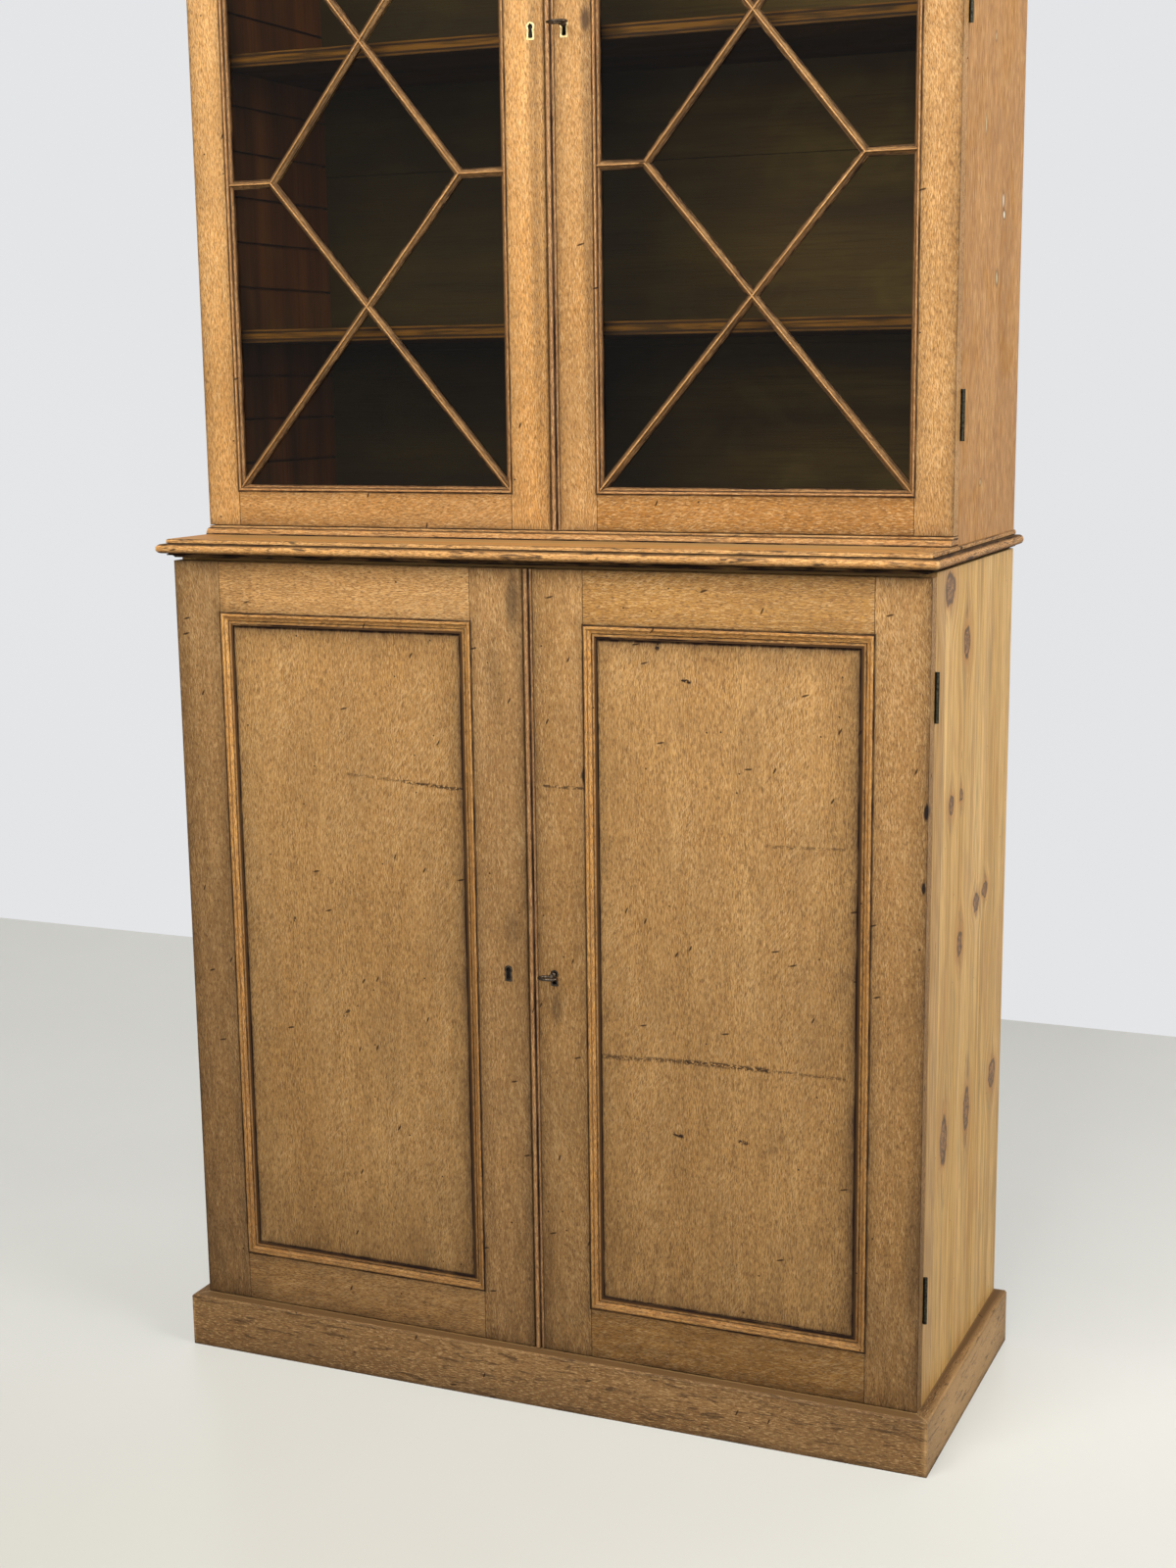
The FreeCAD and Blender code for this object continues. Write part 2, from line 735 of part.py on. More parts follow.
# Bookcase carcass: the sides carry a ladder of grooves that the shelves slide into.
for hand, side in SIDES.items():
    width = mirrored((inner, half), side)
    housed = mirrored((inner, inner + s.housing_depth), side)
    grooved = mirrored((inner, inner + s.groove_depth), side)
    cutters = [
        board("upper_%s_rebate" % hand, mirrored((inner, inner + s.back_rebate), side), (back_face, rear),
              (waist_top, cornice_foot)),
        board("upper_%s_floor_seat" % hand, housed, (upper_front, back_face), (upper_floor, bookcase_floor)),
        board("upper_%s_roof_seat" % hand, housed, (upper_front, back_face), (bookcase_roof, cornice_foot)),
    ]
    for index in range(GROOVES_PER_SIDE):
        foot = bookcase_floor + s.groove_low + s.groove_pitch * index
        cutters.append(board("upper_%s_groove_%d" % (hand, index + 1), grooved, (upper_front, back_face),
                             (foot, foot + s.groove_height)))
    cheek = board("upper_%s_board" % hand, width, (upper_front, rear), (waist_top, cornice_foot))
    node("upper_side_" + hand, cut("upper_%s_side" % hand, cheek, *cutters, *side_recesses["upper", hand]))

housed_span = (-floor_reach, floor_reach)
bookcase_deep = (upper_front, back_face)
upper_board = board("bookcase_floor_board", housed_span, bookcase_deep, (upper_floor, bookcase_floor))
upper_hole = bolt_hole("bookcase_floor_hole", left_bolt_x["upper"], upper_door_back,
                       bookcase_floor - s.bolt_hole_depth, bookcase_floor)
node("upper_floor", cut("upper_floor_cut", upper_board, upper_hole))
roof_board = board("bookcase_roof_board", housed_span, bookcase_deep, (bookcase_roof, cornice_foot))
roof_hole = bolt_hole("bookcase_roof_hole", left_bolt_x["upper"], upper_door_back,
                      bookcase_roof, bookcase_roof + s.bolt_hole_depth)
node("upper_roof", cut("upper_roof_cut", roof_board, roof_hole))


def lay_level(name, span, deep):
    return board(name, (-back_reach, back_reach), deep, span)


upper_edges = share_boards(cornice_foot - waist_top, s.upper_back_board)
upper_backs = lapped_boards("upper_back", upper_edges, waist_top, lay_level)
node("upper_back_boards", group("upper_backs", *upper_backs))

tongue_gap = (s.groove_height - s.shelf_tongue) / 2
shelf_depth = (upper_front + s.shelf_setback, back_face - s.fit_gap)
upper_shelves = []
for number, index in enumerate(SHELF_GROOVES, 1):
    title = "bookcase_shelf_%d" % number
    tongue_foot = bookcase_floor + s.groove_low + s.groove_pitch * index + tongue_gap
    top = tongue_foot + s.shelf_tongue
    body_reach = inner - s.fit_gap
    tongue_reach = inner + s.groove_depth - s.fit_gap
    upper_shelves.append(join(
        title,
        board(title + "_body", (-body_reach, body_reach), shelf_depth, (top - s.shelf_thickness, top)),
        board(title + "_tongue", (-tongue_reach, tongue_reach), shelf_depth, (tongue_foot, top)),
    ))
node("upper_shelves", group("bookcase_shelves", *upper_shelves))

# The base moulding hides the air under the bookcase's floor and ends square at both sides.
base = [
    (0, 0),
    (s.base_reach, 0),
    (s.base_reach, s.base_nose, QUARTER_ROUND_SHARE),
    (s.base_reach - s.base_ovolo, s.base_ovolo),
    (s.base_reach - s.base_fillet_setback, s.base_ovolo),
    (s.base_reach - s.base_fillet_setback, s.base_height),
    (0, s.base_height),
]
base_start = (half, upper_front, waist_top)
node("upper_base_moulding", run("base_run", base, base_start, FRONT, UP, s.cabinet_width))

# Cornice: a mitred crown that caps the roof on three sides.
crown = s.cornice_width
cove_top = s.cornice_cove_height + s.cornice_fillet
cornice = [
    (0, 0),
    (crown + s.cornice_bed, 0),
    (crown + s.cornice_bed, s.cornice_bed_height),
    (crown + s.cornice_neck, s.cornice_neck_height, -QUARTER_ROUND_SHARE),
    (crown + s.cornice_cove, s.cornice_cove_height),
    (crown + s.cornice_cove + s.cornice_step, s.cornice_cove_height),
    (crown + s.cornice_cove + s.cornice_step, cove_top, QUARTER_ROUND_SHARE),
    (crown + s.cornice_ovolo, s.cornice_ovolo_height),
    (crown + s.cornice_crown, s.cornice_ovolo_height),
    (crown + s.cornice_crown, s.cornice_height),
    (0, s.cornice_height),
]
crown_half = half - crown
crown_line = upper_face + crown
crown_run = rear - crown_line
node("cornice", group(
    "cornice_runs",
    run("cornice_front", cornice, (crown_half, crown_line, cornice_foot), FRONT, UP, crown_half * 2, (1, 1)),
    run("cornice_left", cornice, (-crown_half, crown_line, cornice_foot), LEFT, UP, crown_run, (1, 0)),
    run("cornice_right", cornice, (crown_half, rear, cornice_foot), RIGHT, UP, crown_run, (0, 1)),
))

# Doors: mortised and tenoned frames, hung on the outside and meeting at a bead.
panel_face = lower_face + s.panel_recess
lower_core = (panel_face - s.fit_gap, panel_face + s.panel_thickness + s.fit_gap)
DOORS = {
    "lower": SimpleNamespace(
        face=lower_face, back=lower_door_back, foot=lower_door_foot, head=lower_door_head,
        stile=s.lower_stile, meeting=s.lower_meeting_stile, rail=s.lower_rail,
        lock_inset=s.lower_lock_inset, blind_inset=s.lower_blind_inset, feet=HINGE_SETS[0][2],
        core=lower_core,
    ),
    "upper": SimpleNamespace(
        face=upper_face, back=upper_door_back, foot=upper_door_foot, head=upper_door_head,
        stile=s.upper_stile, meeting=s.upper_meeting_stile, rail=s.upper_rail,
        lock_inset=s.upper_lock_inset, blind_inset=s.upper_blind_inset, feet=HINGE_SETS[1][2],
        core=(upper_face + (s.upper_door_thickness - s.tenon_thickness) / 2,
              upper_face + (s.upper_door_thickness + s.tenon_thickness) / 2),
    ),
}


def keyhole(name, x, y, z, grow=0):
    """A keyhole's solid, round at its head and flared below, or that shape grown by a rim."""
    neck = s.keyhole_neck + grow
    foot = s.keyhole_foot + grow
    drop = s.keyhole_drop + grow
    corner = s.keyhole_corner
    flare = [
        (-neck, 0),
        (-foot, corner - drop),
        (corner - foot, -drop),
        (foot - corner, -drop),
        (foot, corner - drop),
        (neck, 0),
    ]
    slot = run(name + "_slot", flare, (x, y[1], z), RIGHT, UP, y[1] - y[0])
    return join(name, faceted(name + "_head", x, y, z, s.keyhole_radius + grow, KEYHOLE_SIDES), slot)


def stile_span(level, hand):
    """The outer stile and the meeting stile of a door, across X."""
    door = DOORS[level]
    outer = mirrored((half - door.stile, half), SIDES[hand])
    if hand == "left":
        return outer, (-meeting_edge - door.meeting - s.left_stile_extra, -meeting_edge)
    return outer, (bead_edge, bead_edge + door.meeting)


def opening(level, hand):
    door = DOORS[level]
    outer, meeting = stile_span(level, hand)
    across = (outer[1], meeting[0]) if hand == "left" else (meeting[1], outer[0])
    return across, (door.foot + door.rail, door.head - door.rail)


def widen(pair, gap):
    return pair[0] - gap, pair[1] + gap


def build_frame(level, hand, extra_cutters):
    """Stiles and rails of one door, with their mortises, tenons and panel grooves."""
    door = DOORS[level]
    name = "%s_%s_" % (level, hand)
    thick = (door.face, door.back)
    across, upright = opening(level, hand)
    tenon_across = widen(across, s.tenon_length)
    rail_spans = {"bottom": (door.foot, door.foot + door.rail), "top": (door.head - door.rail, door.head)}
    mortises, rails = [], []
    for place_name, span in rail_spans.items():
        core = widen(span, -s.tenon_haunch)
        rail = join(
            name + place_name + "_rail",
            board(name + place_name + "_rail_body", across, thick, span),
            board(name + place_name + "_tenons", tenon_across, widen(door.core, -s.joint_gap), core),
        )
        if level == "lower":
            edge = (span[0], span[0] + s.panel_groove)
            if place_name == "bottom":
                edge = (span[1] - s.panel_groove, span[1])
            groove = board(name + place_name + "_groove", widen(across, s.overrun), door.core, edge)
            rail = cut(name + place_name + "_rail_grooved", rail, groove)
        rails.append(rail)
        room = (widen(tenon_across, s.joint_gap), door.core, widen(core, s.joint_gap))
        mortises.append(board(name + place_name + "_mortise", *room))
    stiles = []
    for place_name, span in zip(("outer", "meeting"), stile_span(level, hand)):
        cutters = list(extra_cutters[place_name])
        for mortise in mortises:
            cutters.append(mortise)
        if level == "lower":
            room = (widen(across, s.panel_groove), door.core, widen(upright, s.panel_groove))
            cutters.append(board(name + place_name + "_stile_groove", *room))
        stile = board(name + place_name + "_stile", span, thick, (door.foot, door.head))
        stiles.append(cut(name + place_name + "_stile_cut", stile, *cutters))
    node(name + "stiles", group(name + "stile_pair", *stiles))
    node(name + "rails", group(name + "rail_pair", *rails))


def moulding_frame(name, outline, across, upright, y):
    """Four mitred lengths that line an opening, with their faces towards the front."""
    tall = upright[1] - upright[0]
    wide = across[1] - across[0]
    mitres = (-1, -1)
    return group(
        name,
        run(name + "_left", outline, (across[0], y, upright[1]), RIGHT, FRONT, tall, mitres),
        run(name + "_right", outline, (across[1], y, upright[0]), LEFT, FRONT, tall, mitres),
        run(name + "_top", outline, (across[1], y, upright[1]), DOWN, FRONT, wide, mitres),
        run(name + "_bottom", outline, (across[0], y, upright[0]), UP, FRONT, wide, mitres),
    )


def strip_outline(width, height, bead, step, cove, foot):
    """A planted moulding: a bead at the frame, a fillet and a hollow down to the field."""
    return [
        (0, 0),
        (width, 0),
        (width, foot),
        (cove, foot, -SHALLOW_ARC_SHARE),
        (bead + step, height - step),
        (bead, height - step),
        (bead, height, BEAD_SHARE),
        (0, height),
    ]


# Locks. The key's axis runs along Y, at half the door's height.
def lock_place(level):
    door = DOORS[level]
    return -s.bead_offset + door.lock_inset, (door.foot + door.head) / 2


def lock_layers(level):
    """Where the lock's layers begin and end, from its front plate to the door's back."""
    back = DOORS[level].back
    front = back - s.case_depth
    bit = (front + s.case_wall, front + s.case_wall + s.bit_layer)
    bolt = (bit[1] + s.lock_gap, bit[1] + s.lock_gap + s.lock_bolt_thickness)
    return front, bit, bolt, back


def bolt_rise(level):
    centre = lock_place(level)[1] + s.lock_bolt_rise
    return centre - s.lock_bolt_height / 2, centre + s.lock_bolt_height / 2


def oval(width, length, inset):
    """An oval whose tip rests on the sketch's origin, drawn in by an inset."""
    across = width / 2 - inset
    along = length / 2 - inset
    turns = [2 * math.pi * index / BOW_SIDES for index in range(BOW_SIDES)]
    return [(across * math.cos(turn), length / 2 + along * math.sin(turn)) for turn in turns]


def build_lock(level):
    """The case, bolt and key of a right door, and the cutters that seat them."""
    door = DOORS[level]
    name = level + "_lock_"
    x, z = lock_place(level)
    front, bit_layer, bolt_layer, back = lock_layers(level)
    case_x = (bead_edge, bead_edge + s.case_width)
    case_z = (z - s.case_height / 2, z + s.case_height / 2)
    clear_bolt = widen(bolt_layer, s.lock_gap)
    seat_rear = clear_bolt[1] + s.stem_seat_depth
    bolt_z = bolt_rise(level)
    bolt_start = -s.bead_offset + s.lock_bolt_setback
    bolt_end = bolt_start + s.lock_bolt_length
    bit_swing = s.bit_reach + s.lock_gap
    case = cut(
        name + "case_cut",
        board(name + "case_block", case_x, (front, back), case_z),
        board(name + "bit_room", widen((x, x), bit_swing), bit_layer, widen((z, z), bit_swing)),
        keyhole(name + "case_hole", x, (front - s.overrun, front + s.case_wall), z),
        board(name + "bolt_room", (case_x[0] - s.overrun, bolt_end + s.lock_gap), clear_bolt,
              widen(bolt_z, s.lock_gap)),
        rod(name + "stem_seat", x, (bit_layer[0], seat_rear), z, s.key_stem + s.pin_gap),
    )
    node(level + "_right_lock_case", case)
    node(level + "_right_lock_bolt", board(name + "bolt", (bolt_start, bolt_end), bolt_layer, bolt_z))
    bow_front = door.face - s.key_reach
    bow_rear = bow_front + s.key_bow_length
    bit_y = widen(bit_layer, -s.lock_gap)
    half_bit = s.bit_thickness / 2
    bow = turned_body(name + "bow", (x, bow_front, z - s.key_wire / 2), RIGHT, REAR)
    pad(bow, oval(s.key_bow_width, s.key_bow_length, 0), s.key_wire)
    eye = new_sketch(bow, "XY_Plane", name + "bow_eye")
    draw(eye, oval(s.key_bow_width, s.key_bow_length, s.key_wire))
    pocket = bow.newObject("PartDesign::Pocket", name + "bow_pocket")
    pocket.Profile = eye
    pocket.Type = "ThroughAll"
    pocket.SideType = "Symmetric"
    collar_rear = door.face - s.key_collar_start
    collar_span = (collar_rear - s.key_collar_length, collar_rear)
    node(level + "_right_key", join(
        name + "key",
        bow,
        rod(name + "key_stem", x, (bow_rear - s.key_wire / 2, seat_rear - s.lock_gap), z, s.key_stem),
        faceted(name + "key_collar", x, collar_span, z, s.key_collar, KNOB_SIDES),
        board(name + "key_bit", (x - half_bit, x + half_bit), bit_y, (z - s.bit_reach, z)),
    ))
    return [
        board(name + "case_seat", (case_x[0] - s.overrun, case_x[1]), (front, back), case_z),
        keyhole(name + "stile_hole", x, (door.face - s.overrun, front + s.case_wall), z),
    ]


def build_bead(level):
    """The beaded strip on the right door's meeting stile, pierced for the lock's bolt."""
    door = DOORS[level]
    deep = door.back - door.face
    quirk = s.bead_round + s.bead_quirk
    outline = [
        (0, 0),
        (deep, 0, FULL_BEAD_SHARE),
        (deep, s.bead_round),
        (deep - s.bead_quirk_depth, s.bead_round),
        (deep - s.bead_quirk_depth, quirk),
        (deep + s.bead_fillet_proud, quirk),
        (deep + s.bead_fillet_proud, s.bead_width),
        (0, s.bead_width),
    ]
    strip = run(level + "_bead_strip", outline, (-s.bead_offset, door.back, door.foot), FRONT, RIGHT,
                door.head - door.foot)
    _, _, bolt_layer, _ = lock_layers(level)
    hole = board(level + "_bead_hole", (-s.bead_offset - s.overrun, bead_edge + s.overrun),
                 widen(bolt_layer, s.lock_gap), widen(bolt_rise(level), s.lock_gap))
    node(level + "_right_bead", cut(level + "_bead_cut", strip, hole))


def build_escutcheon(level, hand):
    """A brass keyhole rim let into the stile. It returns the cutter that seats it."""
    door = DOORS[level]
    name = "%s_%s_escutcheon" % (level, hand)
    if hand == "right":
        x, z = lock_place(level)
    else:
        x, z = -meeting_edge - door.blind_inset, lock_place(level)[1]
    depth = (door.face - s.escutcheon_proud, door.face + s.escutcheon_depth)
    rim = keyhole(name + "_rim", x, depth, z, s.escutcheon_rim)
    hole = keyhole(name + "_hole", x, widen(depth, s.overrun), z)
    node(name, cut(name + "_cut", rim, hole))
    return [keyhole(name + "_seat", x, (door.face - s.overrun, depth[1]), z, s.escutcheon_rim)]


# Tower bolts hold the left doors shut at their head and foot.
def build_tower_bolts(level):
    door = DOORS[level]
    x = left_bolt_x[level]
    across, deep = bolt_sides(x, door.back, 0)
    room_across, room_deep = bolt_sides(x, door.back, s.bolt_gap)
    stops = {"lower": (cupboard_floor, lower_rail_foot), "upper": (bookcase_floor, bookcase_roof)}
    low_tip = stops[level][0] + s.bolt_rest_gap
    high_tip = stops[level][1] - s.bolt_rest_gap
    plates = []
    for end, tip, way in (("bottom", low_tip, 1), ("top", high_tip, -1)):
        name = "%s_left_bolt_%s" % (level, end)

        def span(start, length):
            first, last = tip + start * way, tip + (start + length) * way
            return (first, last) if way > 0 else (last, first)

        knob_z = tip + (s.bolt_length - s.bolt_knob_inset) * way
        knob_y = (deep[1] - s.fit_gap, deep[1] + s.bolt_knob_length)
        node(name, join(
            name + "_whole",
            board(name + "_bar", across, deep, span(sized(0), s.bolt_length)),
            faceted(name + "_knob", x, knob_y, knob_z, s.bolt_knob_radius, KNOB_SIDES),
        ))
        plate_x = (x - s.bolt_plate_width / 2, x + s.bolt_plate_width / 2)
        far_staple = s.bolt_plate_start + s.bolt_plate_length - s.staple_inset - s.staple_length
        pieces = [board(name + "_plate", plate_x, (door.back, door.back + s.bolt_plate_thickness),
                        span(s.bolt_plate_start, s.bolt_plate_length))]
        for place_name, start in (("near", s.bolt_plate_start + s.staple_inset), ("far", far_staple)):
            block = (door.back, room_deep[1] + s.staple_wall)
            staple_across = widen(room_across, s.staple_wall)
            staple_span = span(start, s.staple_length)
            pieces.append(board("%s_%s_staple" % (name, place_name), staple_across, block, staple_span))
        slide_span = widen(span(s.bolt_plate_start, s.bolt_plate_length), s.overrun)
        slide = board(name + "_slide", room_across, room_deep, slide_span)
        plates.append(cut(name + "_plate_cut", join(name + "_plate_solid", *pieces), slide))
    node(level + "_left_bolt_plates", group(level + "_left_plates", *plates))


def build_door(level, hand):
    door = DOORS[level]
    side = SIDES[hand]
    name = "%s_%s_" % (level, hand)
    outer_cutters = []
    leaves = []
    for number, foot in enumerate(door.feet, 1):
        leaves.append(moving_leaf("%shinge_%d_moving" % (name, number), side, door.back, foot))
        outer_cutters.append(leaf_recess("%sstile_seat_%d" % (name, number), side,
                                         (door.back - s.hinge_recess, door.back), foot))
    node(name + "hinge_leaves", group(name + "leaves", *leaves))
    meeting_cutters = build_escutcheon(level, hand)
    if hand == "right":
        meeting_cutters += build_lock(level)
        build_bead(level)
    else:
        _, _, bolt_layer, _ = lock_layers(level)
        across = (-meeting_edge - s.lock_mortise_depth, -meeting_edge + s.overrun)
        room = (across, widen(bolt_layer, s.lock_gap), widen(bolt_rise(level), s.lock_gap))
        meeting_cutters.append(board(name + "bolt_mortise", *room))
        build_tower_bolts(level)
    build_frame(level, hand, {"outer": outer_cutters, "meeting": meeting_cutters})


panel_mould = strip_outline(s.panel_mould_width, s.panel_recess, s.panel_mould_bead, s.panel_mould_step,
                            s.panel_mould_cove, s.panel_mould_foot)
for hand in SIDES:
    build_door("lower", hand)
    across, upright = opening("lower", hand)
    held = s.panel_groove - s.fit_gap
    panel_deep = (panel_face, panel_face + s.panel_thickness)
    field = board("lower_%s_field" % hand, widen(across, held), panel_deep, widen(upright, held))
    node("lower_%s_panel" % hand, field)
    node("lower_%s_panel_moulding" % hand,
         moulding_frame("lower_%s_mould" % hand, panel_mould, across, upright, panel_face))

# Glazing. Each door has a lattice of moulded bars over the glass. In a door's own plane, the
# points below are measured from the opening's lower left corner. The bars are free shapes
# because each one is mitred or scribed to its neighbours at the angle that the sizes give.
sticking = strip_outline(s.sticking_width, s.glass_recess, s.sticking_bead, s.sticking_step,
                         s.sticking_width - s.sticking_step, s.sticking_foot)
glass_face = upper_face + s.glass_recess


def free_shape(name, shape):
    thing = doc.addObject("Part::Feature", name)
    thing.Shape = shape
    return thing


def prism(points, low, high):
    """A flat shape in the door's plane, extruded from one depth to another."""
    corners = [FreeCAD.Vector(x, low, z) for x, z in points]
    face = Part.Face(Part.makePolygon(corners + corners[:1]))
    return face.extrude(FreeCAD.Vector(0, high - low, 0))


def unit(start, stop):
    across, up = stop[0] - start[0], stop[1] - start[1]
    length = math.hypot(across, up)
    return across / length, up / length


def moved(point, way, distance):
    return point[0] + way[0] * distance, point[1] + way[1] * distance


def bar_between(start, stop):
    """A bar of the moulded section whose ridge runs from one point to another."""
    way = unit(start, stop)
    half_width = s.bar_width.value / 2
    web = s.bar_web.value / 2
    quirk = half_width - s.bar_fillet.value
    hollow = quirk - s.bar_quirk.value
    crest = s.bar_crown.value / 2
    ledge = s.bar_fillet_height.value
    top = s.bar_height.value
    shoulder = ledge + s.bar_quirk.value
    bend = SHALLOW_ARC_SHARE
    plane_y = glass_face.value

    def spot(sideways, height):
        x, z = moved(start, (-way[1], way[0]), sideways)
        return FreeCAD.Vector(x, plane_y - height, z)

    def hollow_between(side):
        foot = (hollow * side, shoulder)
        head = (crest * side, top)
        run_across, run_up = head[0] - foot[0], head[1] - foot[1]
        middle = ((foot[0] + head[0]) / 2 + run_up * bend / 2 * -side,
                  (foot[1] + head[1]) / 2 + abs(run_across) * bend / 2 * -1)
        return spot(*foot), spot(*middle), spot(*head)

    right = hollow_between(1)
    left = hollow_between(-1)
    straight = [left[0], spot(-quirk, ledge), spot(-half_width, ledge), spot(-half_width, 0), spot(-web, 0),
                spot(-web, -s.bar_web_depth.value), spot(web, -s.bar_web_depth.value), spot(web, 0),
                spot(half_width, 0), spot(half_width, ledge), spot(quirk, ledge), right[0]]
    edges = [Part.makeLine(first, second) for first, second in zip(straight, straight[1:])]
    edges.append(Part.Arc(*right).toShape())
    edges.append(Part.makeLine(right[2], left[2]))
    edges.append(Part.Arc(*reversed(left)).toShape())
    face = Part.Face(Part.Wire(edges))
    length = math.dist(start, stop)
    return face.extrude(FreeCAD.Vector(way[0], 0, way[1]) * length)


def largest(shape):
    return max(shape.Solids, key=lambda solid: solid.Volume)


def beyond(point, way, depth):
    """The space past a line through a point, square to a direction in the door's plane."""
    far = s.cabinet_width.value
    side = (-way[1], way[0])
    low, high = moved(point, side, -far), moved(point, side, far)
    return prism([low, high, moved(high, way, far), moved(low, way, far)], *depth)


def build_glazing(hand):
    (left_x, right_x), (low_z, high_z) = opening("upper", hand)
    wide, tall = right_x.value - left_x.value, high_z.value - low_z.value
    origin = (left_x.value, low_z.value)
    title = "upper_%s_sticking" % hand
    frame = moulding_frame(title, sticking, (left_x, right_x), (low_z, high_z), glass_face)
    node(title, frame)
    doc.recompute()

    centre = wide / 2
    rise = s.crossing_rise.value
    short = s.short_bar.value
    node_rise = rise * (wide - short) / centre
    mid_rise = tall / 2

    def at(x, z):
        return origin[0] + x, origin[1] + z

    low_nodes = [at(short, node_rise), at(wide - short, node_rise)]
    high_nodes = [at(short, tall - node_rise), at(wide - short, tall - node_rise)]
    stops = [at(0, node_rise), at(wide, node_rise), at(0, tall - node_rise), at(wide, tall - node_rise)]
    corners = [at(0, 0), at(wide, 0), at(0, tall), at(wide, tall)]
    crossings = [at(centre, rise), at(centre, mid_rise), at(centre, tall - rise)]
    depth = (glass_face.value - s.cabinet_width.value, glass_face.value + s.cabinet_width.value)
    room = prism([corners[0], corners[1], corners[3], corners[2]], *depth)

    def length_between(start, stop, past_start=0, past_stop=0):
        way = unit(start, stop)
        return bar_between(moved(start, way, -past_start), moved(stop, way, past_stop))

    def mitred(bar, corner, own, other):
        """Cut a bar on the line that halves the angle with its neighbour."""
        way = (own[0] - other[0], own[1] - other[1])
        size = math.hypot(*way)
        return bar.cut(beyond(corner, (-way[0] / size, -way[1] / size), depth))

    over = s.bar_width.value
    through_lines = [
        (corners[0], crossings[0], low_nodes[1]),
        (low_nodes[0], crossings[1], high_nodes[1]),
        (corners[2], crossings[2], high_nodes[1]),
    ]
    halved_lines = [
        (corners[1], crossings[0], low_nodes[0]),
        (low_nodes[1], crossings[1], high_nodes[0]),
        (corners[3], crossings[2], high_nodes[0]),
    ]
    meetings = {}
    for first, crossing, second in through_lines + halved_lines:
        meetings.setdefault(first, []).append(crossing)
        meetings.setdefault(second, []).append(crossing)

    def trim(bar, end, towards):
        others = [crossing for crossing in meetings[end] if crossing != towards]
        if not others:
            return bar
        return mitred(bar, end, unit(end, towards), unit(end, others[0]))

    strips = [piece.Shape for piece in frame.Links]
    bars = []
    for (first, crossing, second), (third, _, fourth) in zip(through_lines, halved_lines):
        through = length_between(first, second, over, over)
        through = trim(trim(through, first, crossing), second, crossing)
        halves = []
        for end in (third, fourth):
            bar = length_between(end, crossing, over, 0)
            halves.append(trim(bar, end, crossing).cut(through))
        bars.append(through)
        bars.extend(halves)
    for stop, end in zip(stops, low_nodes + high_nodes):
        bar = length_between(stop, end, over, 0)
        spot = Part.Vertex(end[0], glass_face.value, end[1])
        near = [diagonal for diagonal in bars if diagonal.distToShape(spot)[0] < over]
        bars.append(bar.cut(Part.makeCompound(near)))
    finished = []
    for number, bar in enumerate(bars, 1):
        bar = bar.common(room)
        for strip in strips:
            bar = bar.cut(strip)
        finished.append(free_shape("upper_%s_bar_%d" % (hand, number), largest(bar)))
    node("upper_%s_bars" % hand, group("upper_%s_lattice" % hand, *finished))

    edge_gap = s.glass_gap.value
    bar_gap = s.bar_web.value / 2 + s.glass_gap.value / 2

    def pane(points):
        """A pane between its bars: each edge moves in by its own gap."""
        lines = []
        for start, stop in zip(points, points[1:] + points[:1]):
            way = unit(start, stop)
            on_frame = all(
                abs(point[0] - origin[0]) < edge_gap or abs(point[0] - origin[0] - wide) < edge_gap
                for point in (start, stop)
            ) and abs(way[0]) < abs(way[1])
            flat_frame = all(
                abs(point[1] - origin[1]) < edge_gap or abs(point[1] - origin[1] - tall) < edge_gap
                for point in (start, stop)
            )
            gap = edge_gap if on_frame or flat_frame else bar_gap
            lines.append((moved(start, (-way[1], way[0]), gap), way))
        outline = []
        for (point, way), (other, other_way) in zip(lines[-1:] + lines[:-1], lines):
            across, up = other[0] - point[0], other[1] - point[1]
            turn = way[0] * other_way[1] - way[1] * other_way[0]
            outline.append(moved(point, way, (across * other_way[1] - up * other_way[0]) / turn))
        return prism(outline, glass_face.value, glass_face.value + s.glass_thickness.value)

    panes = [
        [corners[0], corners[1], crossings[0]],
        [corners[0], crossings[0], low_nodes[0], stops[0]],
        [corners[1], stops[1], low_nodes[1], crossings[0]],
        [crossings[0], low_nodes[1], crossings[1], low_nodes[0]],
        [stops[0], low_nodes[0], crossings[1], high_nodes[0], stops[2]],
        [stops[1], stops[3], high_nodes[1], crossings[1], low_nodes[1]],
        [crossings[1], high_nodes[1], crossings[2], high_nodes[0]],
        [stops[2], high_nodes[0], crossings[2], corners[2]],
        [stops[3], corners[3], crossings[2], high_nodes[1]],
        [corners[2], crossings[2], corners[3]],
    ]
    sheets = []
    for number, points in enumerate(panes, 1):
        sheets.append(free_shape("upper_%s_pane_%d" % (hand, number), pane(points)))
    node("upper_%s_glass" % hand, group("upper_%s_panes" % hand, *sheets))


for hand in SIDES:
    build_door("upper", hand)
    build_glazing(hand)

doc.recompute()

# Check every object, then write one file for each node.
for thing in doc.Objects:
    if "Invalid" in thing.State or "Error" in thing.State:
        raise RuntimeError("%s failed: %s" % (thing.Name, thing.State))
    shape = getattr(thing, "Shape", None)
    if shape is not None and not thing.isDerivedFrom("App::Plane") and not thing.isDerivedFrom("App::Line"):
        if shape.isNull() or not shape.isValid():
            raise RuntimeError("%s has no valid shape" % thing.Name)

os.makedirs("parts", exist_ok=True)
for name, thing in NODES.items():
    thing.Shape.exportStep("parts/%s.step" % name)
print("%d nodes written" % len(NODES))
